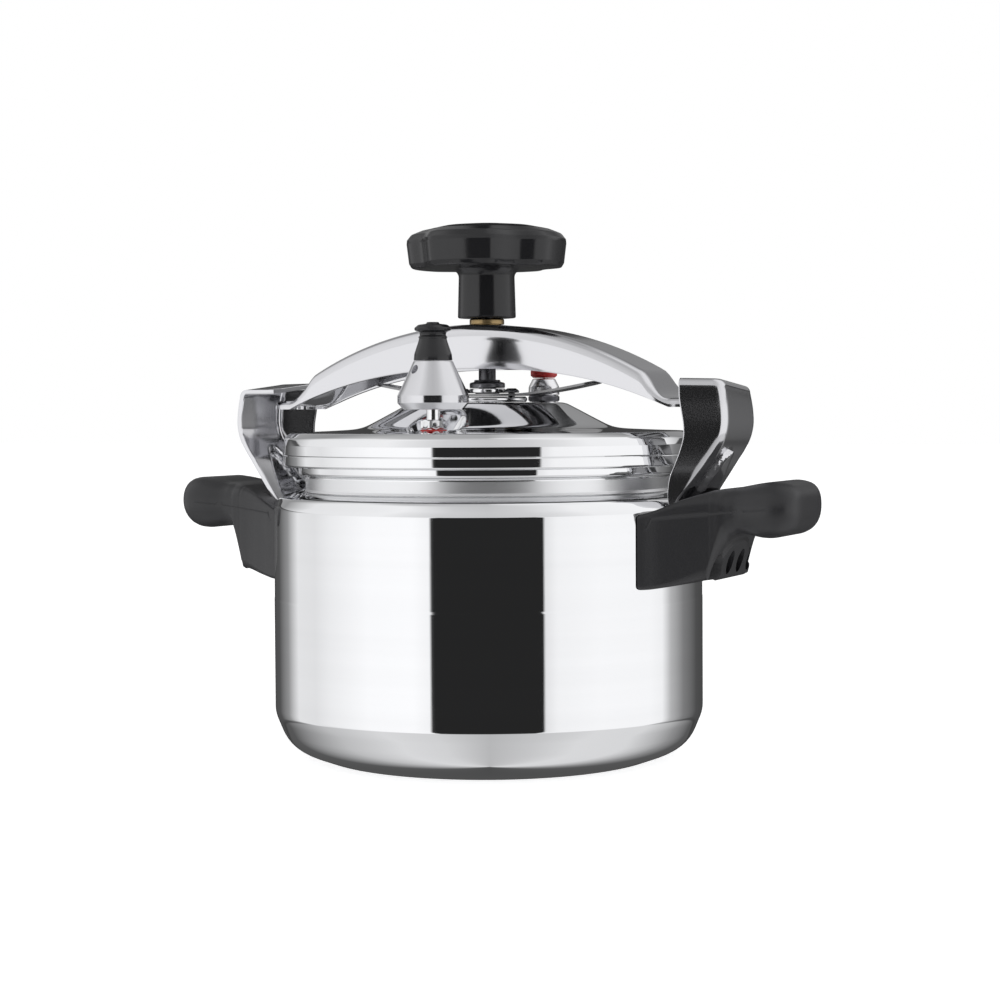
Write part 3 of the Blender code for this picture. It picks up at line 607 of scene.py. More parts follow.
def fit_piece(obj, finish, body, nodes, slot, at=AXIS, turn=0.0, sharp=38.0):
    """Smooth, place and paint a piece, and let it ride in place of the frame's nodes."""
    obj.data.shade_smooth()
    obj.data.set_sharp_from_angle(angle=math.radians(sharp))
    obj.data.materials.clear()
    obj.data.materials.append(finish_of(finish))
    obj.location = Vector(at) * MM
    obj.rotation_euler.z = turn
    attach(obj, body)
    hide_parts(*nodes)
    return obj


def fit_turned(name, profile, mesh, *fitting, **place):
    """Turn a profile and fit it; mesh holds its segments, corner steps and whether it closes."""
    return fit_piece(to_object(name, turned(profile, *mesh)), *fitting, **place)


def smooth_value(table, x):
    """Smooth interpolation through a table of (x, value), with level ends."""
    if x <= table[0][0]:
        return table[0][1]
    if x >= table[-1][0]:
        return table[-1][1]
    i = max(k for k in range(len(table)) if table[k][0] <= x)
    i = min(i, len(table) - 2)

    def slope(k):
        if k in (0, len(table) - 1):
            near = 1 if k == 0 else k - 1
            return (table[near][1] - table[k][1]) / (table[near][0] - table[k][0])
        return (table[k + 1][1] - table[k - 1][1]) / (table[k + 1][0] - table[k - 1][0])

    (x0, y0), (x1, y1) = table[i][:2], table[i + 1][:2]
    h = x1 - x0
    s = (x - x0) / h
    return ((2 * s ** 3 - 3 * s ** 2 + 1) * y0 + (s ** 3 - 2 * s ** 2 + s) * h * slope(i)
            + (3 * s ** 2 - 2 * s ** 3) * y1 + (s ** 3 - s ** 2) * h * slope(i + 1))


def step_smooth(x, low, high):
    """0 below low, 1 above high, smooth between."""
    s = min(max((x - low) / (high - low), 0.0), 1.0)
    return s * s * (3.0 - 2.0 * s)


def hex_radius(across_flats):
    """Outline of a hexagon with slightly broken corners."""
    def radius_at(angle, r, z):
        off = (angle + math.pi / 6.0) % (math.pi / 3.0) - math.pi / 6.0
        flat = across_flats / 2.0 / math.cos(off)
        return min(flat, r)
    return radius_at


def hex_nut(name, hole, across_flats, z0, z1):
    """A hexagonal nut with chamfered corners and a bevelled hole."""
    corner = across_flats / 2.0 / math.cos(math.pi / 6.0)
    face = across_flats / 2.0 * 0.97
    chamfer = (corner - face) * 0.5
    half = hex_radius(across_flats)
    profile = [(hole, z0 + 0.3), (hole + 0.3, z0), (face, z0), (corner, z0 + chamfer),
               (corner, z1 - chamfer), (face, z1), (hole + 0.3, z1), (hole, z1 - 0.3)]
    return to_object(name, turned(profile, 96, 1, True, half))


# ---------------------------------------------------------------- pot

POT_PROFILE = [
    (0.0, 0.6), (72.0, 0.6, 6.0), (76.0, 0.0, 2.0), (84.0, 0.0, 18.0), (103.0, 7.0, 22.0),
    (110.0, 24.0, 17.0), (110.0, 82.0, 0.8), (109.86, 83.2, 0.8), (109.86, 128.6, 7.0),
    (106.6, 134.2, 5.0), (99.4, 136.2, 2.0), (98.0, 135.9, 0.4), (94.3, 136.4, 0.8),
    (93.6, 138.0, 0.6), (93.6, 144.5, 0.4), (97.4, 145.3, 1.9), (97.4, 150.6, 1.6),
    (95.2, 152.0, 1.0), (91.4, 152.0, 1.2), (90.8, 139.5, 3.0), (92.5, 135.8, 2.5),
    (97.5, 133.3, 3.0), (104.0, 132.5, 3.0), (107.0, 129.3, 3.0), (107.2, 27.0, 18.0),
    (101.0, 11.0, 14.0), (85.2, 5.0, 14.0), (0.0, 5.0),
]
WALL_RIVET_HOLE, WALL_SCREW_HOLE = (2.2, 100.0, 118.0, 20), (2.3, 100.0, 118.0, 20)


class COOKER_OT_pot(bpy.types.Operator):
    """Build the drawn aluminium pot with its shoulder, neck and rolled rim."""
    bl_idname = "cooker.pot"
    bl_label = "Pot"

    def execute(self, context):
        pot = to_object("pot_drawn_shell", turned(POT_PROFILE, sizes().round_segments, 7))
        holes = bmesh.new()
        for _, turn in SIDES:
            fixing_holes(holes, turn, WALL_RIVET_HOLE, WALL_SCREW_HOLE)
        carve(pot, holes)
        fit_piece(pot, "pot_aluminium", "pot", ["pot_shell"], "polished_aluminium", sharp=32.0)
        return {"FINISHED"}


# ---------------------------------------------------------------- ears

EAR_FACE = [(94.0, 112.7), (111.0, 112.7), (122.0, 112.75), (128.0, 113.9), (134.0, 117.0),
            (140.0, 120.3), (145.0, 123.2), (151.0, 126.6), (156.0, 130.0), (161.0, 132.8),
            (165.0, 134.3), (170.0, 135.2), (175.0, 135.1), (180.0, 134.5), (186.6, 133.2),
            (189.0, 132.8)]
EAR_WALL_EDGE = [(94.0, 112.4), (124.0, 112.4), (129.0, 108.6), (134.0, 107.4), (140.0, 107.5),
                 (145.0, 108.5), (151.0, 111.0), (156.0, 113.0), (161.0, 114.6), (165.0, 115.4),
                 (170.0, 115.2), (175.0, 114.2), (180.0, 113.2), (186.0, 113.0)]
EAR_HALF = 24.0
EAR_TOP = 188.9
EAR_LIP_EDGE = 113.0
EAR_BEND = 3.6
EAR_FOOT = 94.0
EAR_FINE_STEP, EAR_COARSE_STEP, EAR_FINE_END = 1.2, 4.0, 126.0


def ear_outline(z, steps_wall=14, steps_corner=8, steps_face=28):
    """Plan outline at a height: wall edge, rounded corner, outer face, open edge."""
    face_mid = smooth_value(EAR_FACE, z)
    blend = min(max((z - 122.0) / 28.0, 0.0), 1.0)

    def face_x(y):
        plate = math.sqrt(112.7 ** 2 - y * y)
        bow = 2.6 * (1.0 - blend) * (y / EAR_HALF) ** 2
        free = face_mid - bow * step_smooth(z, 116.0, 128.0)
        return plate + (free - plate) * step_smooth(z, 114.0, 128.0)

    edge = min(smooth_value(EAR_WALL_EDGE, z), face_x(-EAR_HALF) - 0.6)
    corner = min(6.0, 0.8 * (face_x(-EAR_HALF) - edge))
    lean = 0.26 * step_smooth(z, 118.0, 134.0)
    start = Vector((edge, -EAR_HALF))
    middle = Vector((face_x(-EAR_HALF) - corner, 0.0))
    middle.y = (-EAR_HALF + (middle.x + corner * math.sin(lean) - edge) * math.tan(lean)
                + corner * math.cos(lean))
    meet = middle + Vector((math.sin(lean), -math.cos(lean))) * corner
    points = [start + (meet - start) * (i / steps_wall) for i in range(steps_wall)]
    for i in range(steps_corner):
        a = (lean - math.pi / 2.0) * (1.0 - i / steps_corner)
        points.append(middle + Vector((math.cos(a), math.sin(a))) * corner)
    for i in range(steps_face + 1):
        y = middle.y + (EAR_HALF - middle.y) * i / steps_face
        points.append(Vector((face_x(y) + ear_swell(y, z), y)))
    return points


def ear_swell(y, z):
    """The pressed arch at the bend of the ear, which stiffens it."""
    top, low = 157.5, 132.0
    if z > top + 2.0 or z < 124.0:
        return 0.0
    share = max((top - z) / (top - low), 0.0)
    half = 15.5 * math.sqrt(min(share, 1.2))
    inside = half - abs(y + 1.5)
    return 3.2 * step_smooth(inside, -0.8, 2.8) * step_smooth(z, 124.0, 136.0)


def lift_lip(y, z):
    """The ear's top rises a little towards its closed side."""
    return z + 4.0 * step_smooth(z, 165.0, EAR_TOP) * (EAR_HALF - y) / (2.0 * EAR_HALF)


def build_ear(name):
    """A bent steel ear: plate, outer face, one closed side and the lip over the tongue."""
    top = ear_outline(EAR_TOP - EAR_BEND)
    normals = []
    for i, point in enumerate(top):
        before, after = top[max(i - 1, 0)], top[min(i + 1, len(top) - 1)]
        along = (after - before).normalized()
        normals.append(Vector((along.y, -along.x)))
    corner = Vector((EAR_LIP_EDGE, EAR_HALF))
    rows = []
    inset = [p - n * EAR_BEND for p, n in zip(top, normals)]
    inset[0] = Vector((EAR_LIP_EDGE, inset[0].y))
    inset[-1] = Vector((inset[-1].x, EAR_HALF))
    for share in (0.0, 0.25, 0.5, 0.75):
        rows.append([(corner.x + (p.x - corner.x) * share,
                      corner.y + (p.y - corner.y) * share, EAR_TOP) for p in inset])
    for k in range(7):
        a = math.pi / 2.0 * k / 6
        rows.append([(p.x + n.x * EAR_BEND * math.sin(a) * (0 if i == 0 else 1),
                      p.y + n.y * EAR_BEND * math.sin(a) * (0 if i == len(inset) - 1 else 1),
                      EAR_TOP - EAR_BEND * (1 - math.cos(a)))
                     for i, (p, n) in enumerate(zip(inset, normals))])
    height = EAR_TOP - EAR_BEND - EAR_FINE_STEP
    while height > EAR_FOOT:
        rows.append([(p.x, p.y, height) for p in ear_outline(height)])
        height -= EAR_FINE_STEP if height > EAR_FINE_END else EAR_COARSE_STEP
    rows.append([(p.x, p.y, EAR_FOOT) for p in ear_outline(EAR_FOOT)])
    bm = bmesh.new()
    skin_rings(bm, rows, wrap=False)
    bmesh.ops.remove_doubles(bm, verts=bm.verts, dist=1e-4)
    for vert in bm.verts:
        vert.co.z = lift_lip(vert.co.y, vert.co.z)
    ear = to_object(name, bm)
    face_along(ear, 0, lambda centre: centre.x > 0.12)
    thicken(ear, sizes().sheet_steel)
    ease_edges(ear, 0.35, 50.0)
    return ear


class COOKER_OT_ears(bpy.types.Operator):
    """Build the two bent steel ears and the rivets that hold them to the pot."""
    bl_idname = "cooker.ears"
    bl_label = "Ears and rivets"

    def execute(self, context):
        rivet = [(0.0, 104.5), (3.2, 104.7, 1.6), (4.5, 106.4, 0.3), (1.9, 106.4), (1.9, 113.1),
                 (3.7, 113.1, 0.2), (3.4, 114.4, 0.9), (0.0, 114.8)]
        for side, turn in SIDES:
            ear = build_ear(f"bent_ear_{side}")
            holes = bmesh.new()
            fixing_holes(holes, 0.0, WALL_RIVET_HOLE, WALL_SCREW_HOLE)
            carve(ear, holes)
            fit_piece(ear, "polished_steel", "pot", [f"ear_{side}"], "polished_steel", turn=turn)
            for end, sign in (("front", -1.0), ("rear", 1.0)):
                bm = turned(rivet, 32, 4)
                bm.transform(radial_place(sign * RIVET_TURN, RIVET_Z))
                head = to_object(f"round_rivet_{side}_{end}", bm)
                fit_piece(head, "turned_steel", "pot", [f"ear_rivet_{side}_{end}"],
                          "polished_steel", turn=turn)
        return {"FINISHED"}


# ---------------------------------------------------------------- handles

HANDLE_FORM = [
    # x, half width, bottom, top, corner radius
    (96.0, 47.6, 91.0, 126.0, 2.0), (100.0, 46.6, 91.0, 127.0, 2.0),
    (104.0, 44.2, 91.1, 128.1, 2.0), (108.0, 41.4, 91.6, 129.6, 2.0),
    (112.0, 39.2, 92.2, 131.4, 2.5), (116.0, 37.2, 92.9, 133.2, 3.0),
    (120.0, 35.2, 93.6, 134.8, 4.0), (124.0, 33.4, 94.3, 136.2, 5.0),
    (128.0, 31.9, 94.9, 137.4, 6.0), (129.4, 31.4, 95.2, 137.8, 6.0),
    (130.4, 31.0, 98.0, 138.1, 6.5), (131.4, 30.8, 101.6, 138.4, 6.5),
    (133.0, 30.4, 106.6, 138.7, 7.0), (134.8, 30.0, 111.2, 139.0, 8.0),
    (137.0, 29.2, 114.8, 139.3, 9.0), (140.0, 28.6, 116.8, 139.6, 9.0),
    (142.6, 28.2, 117.6, 139.9, 9.5), (145.0, 28.2, 117.6, 140.3, 10.0),
    (149.0, 28.5, 116.6, 141.1, 10.5), (154.0, 29.0, 115.6, 142.0, 11.5),
    (160.0, 29.0, 115.7, 142.6, 12.0), (165.0, 27.8, 117.2, 142.0, 11.5),
    (168.6, 25.4, 119.8, 140.4, 10.0), (170.8, 21.6, 123.0, 137.8, 7.2),
    (171.9, 16.5, 126.0, 134.8, 4.3), (172.2, 12.0, 128.6, 132.2, 1.7),
]
SEAM_PROUD = 0.35
ARCH_HALF, ARCH_FOOT, ARCH_RISE, ARCH_DEPTH = 28.5, 91.5, 24.0, 1.6


def handle_value(column, x):
    """One of the handle's sizes at a distance from the pot's axis."""
    return smooth_value([(row[0], row[column]) for row in HANDLE_FORM], x)


def parting_height(x):
    """Height of the mould's parting line along the side of the handle."""
    return 124.8 + (x - 100.0) * 0.08


def handle_ring(x):
    """A rounded section across the handle, with the parting line standing proud."""
    half, low, high, radius = (handle_value(k, x) for k in (1, 2, 3, 4))
    radius = max(min(radius, (high - low) * 0.48, half * 0.9), 0.4)
    seam = min(max(parting_height(x), low + radius + 0.8), high - radius - 0.8)
    if low + radius + 1.0 < seam < high - radius - 1.0:
        upper = [high - radius + (seam + 0.5 - high + radius) * k / 4 for k in range(5)]
        lower = [seam - 0.5 + (low + radius - seam + 0.5) * k / 23 for k in range(24)]
        right = [(half, z) for z in upper] + [(half + SEAM_PROUD, seam)]
        right += [(half, z) for z in lower]
    else:
        right = [(half, high - radius + (low + 2 * radius - high) * k / 29) for k in range(30)]
    corner_low = [(half - radius + radius * math.cos(a), low + radius - radius * math.sin(a))
                  for a in (math.pi / 2.0 * k / 7 for k in range(1, 8))]
    bottom = [((half - radius) * (1 - k / 20), low) for k in range(1, 21)]
    corner_high = [(half - radius + radius * math.sin(a), high - radius + radius * math.cos(a))
                   for a in (math.pi / 2.0 * k / 7 for k in range(7))]
    top = [((half - radius) * k / 6, high) for k in range(6)]
    right_half = top + corner_high + right + corner_low + bottom
    left_half = [(-y, z) for y, z in right_half[::-1]][1:-1]
    return [(x, y, z) for y, z in right_half + left_half]


def press_arch(bm):
    """Press the arched panel into the handle's end, under the grip."""
    bm.normal_update()
    moves = []
    for vert in bm.verts:
        x, y, z = vert.co
        if not (128.0 < x < 140.0 and z < 118.0 and abs(y) < ARCH_HALF):
            continue
        ceiling = ARCH_FOOT + ARCH_RISE * math.sqrt(1.0 - (y / ARCH_HALF) ** 2)
        depth = ARCH_DEPTH * step_smooth(ceiling - z, 0.0, 1.8) * step_smooth(x, 128.4, 130.0)
        moves.append((vert, vert.normal * -depth))
    for vert, move in moves:
        vert.co += move


def slot_tool(y, z0, z1, half):
    """A tall oval cutter that enters the handle's sloping end."""
    bm = bmesh.new()
    outline = [(y + half * math.cos(a), (z0 + z1) / 2.0 + (z1 - z0) / 2.0 * math.sin(a))
               for a in (2.0 * math.pi * k / 28 for k in range(28))]
    skin_rings(bm, [[(x, *point) for point in outline] for x in (118.0, 150.0)],
               close_start=True, close_end=True)
    return bm


def build_handle(name):
    """A black moulded side handle with its grip, parting line, pressed arch and slots."""
    stations = [96.0 + 2.0 * k for k in range(11)] + [117.0 + 0.8 * k for k in range(17)] + [130.2]
    stations += [130.6 + 0.4 * k for k in range(29)] + [142.5 + 1.5 * k for k in range(15)]
    stations += [164.4, 165.6, 166.8, 167.8, 168.6, 169.4, 170.1, 170.7, 171.2, 171.6, 171.9, 172.1,
                 172.2]
    bm = bmesh.new()
    skin_rings(bm, [handle_ring(x) for x in stations], close_start=True, close_end=True)
    press_arch(bm)
    handle = to_object(name, bm)
    pot_tool = bmesh.new()
    rod(pot_tool, 110.35, 80.0, 150.0, segments=256)
    plate_tool = bmesh.new()
    plate_r, half = 113.0, 24.3
    span = math.asin(half / plate_r)
    rings = []
    for z in (93.7, 126.0, 129.0, 132.0, 136.0, 150.0):
        lean = max(z - 124.0, 0.0) * 0.66 + 3.2 * step_smooth(z, 122.0, 134.0)
        ring = [(plate_r * math.cos(a) + lean, plate_r * math.sin(a), z)
                for a in (span * (k / 8.0 - 1.0) for k in range(17))]
        rings.append(ring + [(104.0, half, z), (104.0, -half, z)])
    skin_rings(plate_tool, rings, close_start=True, close_end=True)
    holes = bmesh.new()
    fixing_holes(holes, 0.0, (4.2, 108.0, 115.4, 20), (4.8, 108.0, 125.0, 24))
    slots = ((-23.0, 82.0, 107.6, 5.2), (-7.5, 97.0, 108.6, 4.3), (7.5, 97.0, 108.6, 4.3),
             (22.5, 97.0, 108.4, 4.0))
    carve(handle, pot_tool, plate_tool, holes, *(slot_tool(*slot) for slot in slots))
    return handle


class COOKER_OT_handles(bpy.types.Operator):
    """Build the black moulded side handles with their screws and brass inserts."""
    bl_idname = "cooker.handles"
    bl_label = "Handles"

    def execute(self, context):
        screw = [(0.0, 104.2), (3.4, 104.4, 0.8), (4.7, 105.7, 0.4), (4.7, 106.4), (2.0, 106.4),
                 (2.0, 123.6), (0.0, 123.6)]
        insert = [(2.3, 113.4), (4.5, 113.4, 0.3), (4.5, 124.2, 0.3), (2.3, 124.2)]
        for side, turn in SIDES:
            handle = build_handle(f"moulded_handle_{side}")
            fit_piece(handle, "handle_bakelite", "pot", [f"handle_{side}"], "black_bakelite",
                      turn=turn, sharp=34.0)
            place = radial_place(0.0, SCREW_Z)
            bm = turned(screw, 32, 4)
            bm.transform(place)
            slotted = to_object(f"slotted_screw_{side}", bm)
            carve(slotted, box((1.8, 1.1, 12.0), (104.2, 0.0, SCREW_Z)))
            fit_piece(slotted, "turned_steel", "pot", [f"handle_screw_{side}"], "polished_steel",
                      turn=turn)
            bm = turned(insert, 48, 3, True)
            bm.transform(place)
            fit_piece(to_object(f"brass_insert_{side}", bm), "turned_brass", "pot",
                      [f"handle_insert_{side}"], "brass", turn=turn)
        return {"FINISHED"}


# ---------------------------------------------------------------- lid and sealing ring

LID_FLAT = 166.6
LID_SECTION = [(0.0, 181.3), (37.0, 181.3), (40.5, 180.8), (43.5, 179.4), (60.0, 170.7), (64.0, 169.0),
               (69.0, 168.0), (80.0, 167.3), (97.0, 166.6)]
DIMPLE_FLOOR_R, DIMPLE_FLOOR = 13.0, 166.0
LID_RIM_R = 97.0


def lid_height(x, y):
    """Height of the lid's top surface, with the round pocket for the vent."""
    r = math.hypot(x, y)
    dome = smooth_value(LID_SECTION, min(r, LID_RIM_R))
    reach = math.hypot(x - VENT_AT[0], y - VENT_AT[1])
    pocket = DIMPLE_FLOOR + max(reach - DIMPLE_FLOOR_R, 0.0) / 0.42
    soft = 1.6
    gap = pocket - dome
    blend = 0.5 * (1.0 - gap / soft)
    if blend >= 1.0:
        height = pocket
    elif blend <= 0.0:
        height = dome
    else:
        height = dome + (pocket - dome) * blend - soft * 0.5 * blend * (1.0 - blend)
    foot = max(0.0, 1.0 - abs(reach - DIMPLE_FLOOR_R) / 1.2)
    return height + 0.35 * foot * foot * step_smooth(dome - DIMPLE_FLOOR, 0.5, 2.0)


def build_lid():
    """The drawn lid: fans of rows from the vent's hole out to the rolled rim."""
    spokes = 384
    near = [3.8, 5.0, 7.0, 9.0, 10.5, 11.5, 12.2, 12.8, 13.3, 13.8, 14.3, 14.8, 15.3, 15.8, 16.3, 16.9,
            17.5, 18.1, 18.8, 19.6, 20.5, 21.5, 22.6, 23.8]
    far_steps = 64
    rim = rounded_profile([(LID_RIM_R, LID_FLAT), (101.0, 166.5, 2.2), (104.3, 163.9, 2.6),
                           (105.2, 160.2, 1.2), (105.2, 155.5, 0.25), (104.8, 155.1, 0.2),
                           (105.0, 154.7, 0.25), (105.0, 149.9, 1.6), (103.4, 149.4, 0.4)], 5)[1:]
    rows = []
    centre = Vector(VENT_AT[:2])
    directions = [Vector((math.cos(a), math.sin(a))) for a in
                  (2.0 * math.pi * i / spokes for i in range(spokes))]
    reach = []
    for d in directions:
        along = centre.dot(d)
        reach.append(-along + math.sqrt(along * along - centre.length_squared + LID_RIM_R ** 2))
    for rho in near:
        rows.append([centre + d * rho for d in directions])
    for k in range(1, far_steps + 1):
        s = (k / far_steps) ** 1.12
        rows.append([centre + d * (near[-1] + (far - near[-1]) * s)
                     for d, far in zip(directions, reach)])
    rings = [[(p.x, p.y, lid_height(p.x, p.y)) for p in row] for row in rows]
    edge = [Vector((p.x, p.y)).normalized() for p in rows[-1]]
    for r, z in rim:
        rings.append([(d.x * r, d.y * r, z) for d in edge])
    bm = bmesh.new()
    skin_rings(bm, rings)
    lid = to_object("drawn_lid", bm)
    face_along(lid, 2, lambda centre: centre.z > 0.178)
    thicken(lid, 2.4 * MM)
    holes = bmesh.new()
    rod(holes, 5.3, 160.0, 200.0)
    rod(holes, 6.4, 160.0, 200.0, Matrix.Translation(RELIEF_AT))
    carve(lid, holes)
    return lid


class COOKER_OT_lid(bpy.types.Operator):
    """Build the drawn aluminium lid with its vent pocket and rolled rim."""
    bl_idname = "cooker.lid"
    bl_label = "Lid"

    def execute(self, context):
        fit_piece(build_lid(), "lid_aluminium", "cover", ["lid_shell"], "polished_aluminium",
                  sharp=50.0)
        return {"FINISHED"}


class COOKER_OT_sealing_ring(bpy.types.Operator):
    """Build the C-shaped rubber sealing ring."""
    bl_idname = "cooker.sealing_ring"
    bl_label = "Sealing ring"

    def execute(self, context):
        profile = [(99.7, 152.4, 1.0), (99.7, 161.2, 2.0), (97.4, 163.6, 1.8), (86.0, 163.6, 1.1),
                   (86.0, 161.5, 1.0), (96.2, 160.4, 1.2), (96.2, 155.8, 1.2), (87.4, 154.7, 0.9),
                   (87.4, 152.4, 0.9)]
        ring = to_object("rubber_sealing_ring", turned(profile, sizes().round_segments, 4, True))
        fit_piece(ring, "grey_rubber", "seal", ["gasket"], "grey_rubber")
        return {"FINISHED"}


# ---------------------------------------------------------------- hub, spring and fittings

PAN_SCREW_X = 13.7
LEAF_HALF = 61.0


def leaf_height(x):
    """Underside of the bowed leaf spring."""
    reach = max(abs(x) - 20.0, 0.0)
    return 184.75 + 5.9 * (reach / 41.0) ** 1.4


class COOKER_OT_hub(bpy.types.Operator):
    """Build the bearing plate, the screw's socket and retainer, and the leaf spring."""
    bl_idname = "cooker.hub"
    bl_label = "Hub and leaf spring"

    def execute(self, context):
        ease = sizes().edge_round / MM
        plate = [(0.0, 173.6), (4.5, 173.6, 0.4), (4.9, 174.2, 0.3), (4.9, 181.6), (19.8, 181.6, ease),
                 (20.5, 182.5, 0.8), (20.5, 183.6, 0.8), (19.6, 184.4, 0.5), (0.0, 184.4)]
        bearing = to_object("bearing_pad", turned(plate, 96, 4))
        holes = bmesh.new()
        for x in (-PAN_SCREW_X, PAN_SCREW_X):
            rod(holes, 2.0, 182.8, 190.0, Matrix.Translation((x, 0.0, 0.0)))
        carve(bearing, holes)
        fit_piece(bearing, "turned_steel", "cover", ["bearing_plate"], "polished_steel")
        socket = [(6.6, 186.3, 0.2), (9.2, 186.3, ease), (9.2, 188.6, ease), (6.6, 188.6, 0.2)]
        fit_turned("foot_socket", socket, (64, 3, True), "turned_steel", "cover",
                   ["screw_socket"], "polished_steel")
        retainer = [(4.8, 188.9, 0.2), (9.1, 188.9, 0.5), (9.1, 191.5, 1.0), (6.8, 192.0, 0.3),
                    (6.6, 193.0, 0.4), (4.8, 193.0, 0.2)]
        fit_turned("foot_retainer", retainer, (64, 3, True), "blackened_steel", "cover",
                   ["screw_retainer"], "dark_steel")
        head = [(0.0, 182.9), (1.7, 182.9), (1.7, 186.3), (3.9, 186.3, 0.3), (3.8, 187.4, 0.7),
                (2.2, 188.6, 1.0), (0.0, 188.6)]
        for side, x, turn in (("left", -PAN_SCREW_X, 0.6), ("right", PAN_SCREW_X, -0.4)):
            screw = to_object(f"pan_screw_{side}", turned(head, 40, 4))
            carve(screw, box((10.0, 0.9, 1.6), (0.0, 0.0, 188.5), turn))
            fit_piece(screw, "blackened_steel", "cover", [f"retainer_screw_{side}"], "dark_steel",
                      at=(x, 0.0, 0.0))
        self.leaf()
        return {"FINISHED"}

    def leaf(self):
        """The thin bowed strip under the yoke."""
        bm = bmesh.new()
        rows = []
        for k in range(82):
            x = -LEAF_HALF + 2.0 * LEAF_HALF * k / 81
            tip = max(abs(x) - 57.0, 0.0) / 4.0
            half = 10.0 - 2.5 * max(abs(x) - 20.0, 0.0) / 41.0
            half *= math.sqrt(max(1.0 - 0.35 * tip ** 2, 0.1))
            rows.append([(x, half * (i / 6.0 - 1.0), leaf_height(x)) for i in range(13)])
        skin_rings(bm, rows, wrap=False)
        leaf = to_object("bowed_leaf_spring", bm)
        face_along(leaf, 2, lambda centre: True)
        thicken(leaf, 1.15 * MM, 1.0)
        holes = bmesh.new()
        rod(holes, 6.6, 180.0, 192.0)
        for x in (-PAN_SCREW_X, PAN_SCREW_X):
            rod(holes, 2.1, 180.0, 192.0, Matrix.Translation((x, 0.0, 0.0)))
        carve(leaf, holes)
        ease_edges(leaf, 0.2, 50.0, 1)
        fit_piece(leaf, "spring_steel", "cover", ["leaf_spring"], "polished_steel")


class COOKER_OT_vent(bpy.types.Operator):
    """Build the steam vent: pipe, red seal and its nut."""
    bl_idname = "cooker.vent"
    bl_label = "Vent"

    def execute(self, context):
        pipe = [(1.3, 156.5), (2.6, 156.5, 0.4), (3.4, 157.6, 0.4), (3.4, 186.2, 0.6),
                (2.5, 189.8, 0.5), (1.3, 190.0)]
        fit_turned("steam_pipe", pipe, (64, 4, True), "turned_steel", "cover", ["vent_pipe"],
                   "polished_steel", at=VENT_AT)
        seal = [(3.7, 166.35, 0.3), (6.6, 166.35, 0.7), (6.6, 168.2, 0.7), (3.7, 168.2, 0.3)]
        fit_turned("vent_washer_red", seal, (64, 4, True), "red_silicone", "cover", ["vent_seal"],
                   "red_silicone", at=VENT_AT)
        fit_piece(hex_nut("vent_hex_nut", 3.7, 11.0, 168.5, 173.0), "turned_steel", "cover",
                  ["vent_nut"], "polished_steel", at=VENT_AT, turn=math.radians(9.0))
        return {"FINISHED"}


class COOKER_OT_weight(bpy.types.Operator):
    """Build the working weight: chrome cone with its steam holes and black ribbed cap."""
    bl_idname = "cooker.weight"
    bl_label = "Working weight"

    def execute(self, context):
        body = [(4.0, 178.0), (14.6, 178.0, 0.4), (16.6, 180.2, 0.5), (17.5, 181.2, 0.5),
                (17.5, 184.9, 0.8), (16.0, 188.0, 6.0), (12.6, 195.0, 8.0), (9.75, 201.4, 0.25),
                (9.5, 201.6), (4.0, 201.6)]
        cone = to_object("weight_chrome_cone", turned(body, 128, 5, True))
        holes = bmesh.new()
        for turn, z, size, tilt in ((-116.0, 192.0, 2.3, 26.0), (-2.0, 182.9, 1.6, 0.0)):
            aim = (Matrix.Translation((0.0, 0.0, z)) @ Matrix.Rotation(math.radians(turn), 4, "Z")
                   @ Matrix.Rotation(math.radians(90.0 - tilt), 4, "Y"))
            rod(holes, size, 4.5, 26.0, aim, 28)
        carve(cone, holes)
        ease_edges(cone, 0.3, 44.0)
        fit_piece(cone, "polished_steel", "working_weight", ["weight_body"], "polished_steel",
                  at=VENT_AT)
        cap = [(0.0, 201.9), (9.5, 201.9, 0.2), (9.2, 205.0, 6.0), (7.3, 210.6, 4.0),
               (6.75, 212.5, 0.5), (7.2, 213.2, 0.5), (6.35, 214.1, 0.7), (6.6, 215.5, 0.8),
               (8.8, 216.5, 0.5), (9.1, 217.7, 0.7), (7.2, 219.3, 1.6), (3.4, 219.8, 0.3),
               (2.8, 220.6, 0.4), (0.0, 220.7)]
        fit_turned("weight_black_cap", cap, (96, 5), "knob_bakelite", "working_weight",
                   ["weight_cap"], "black_bakelite", at=VENT_AT)
        return {"FINISHED"}


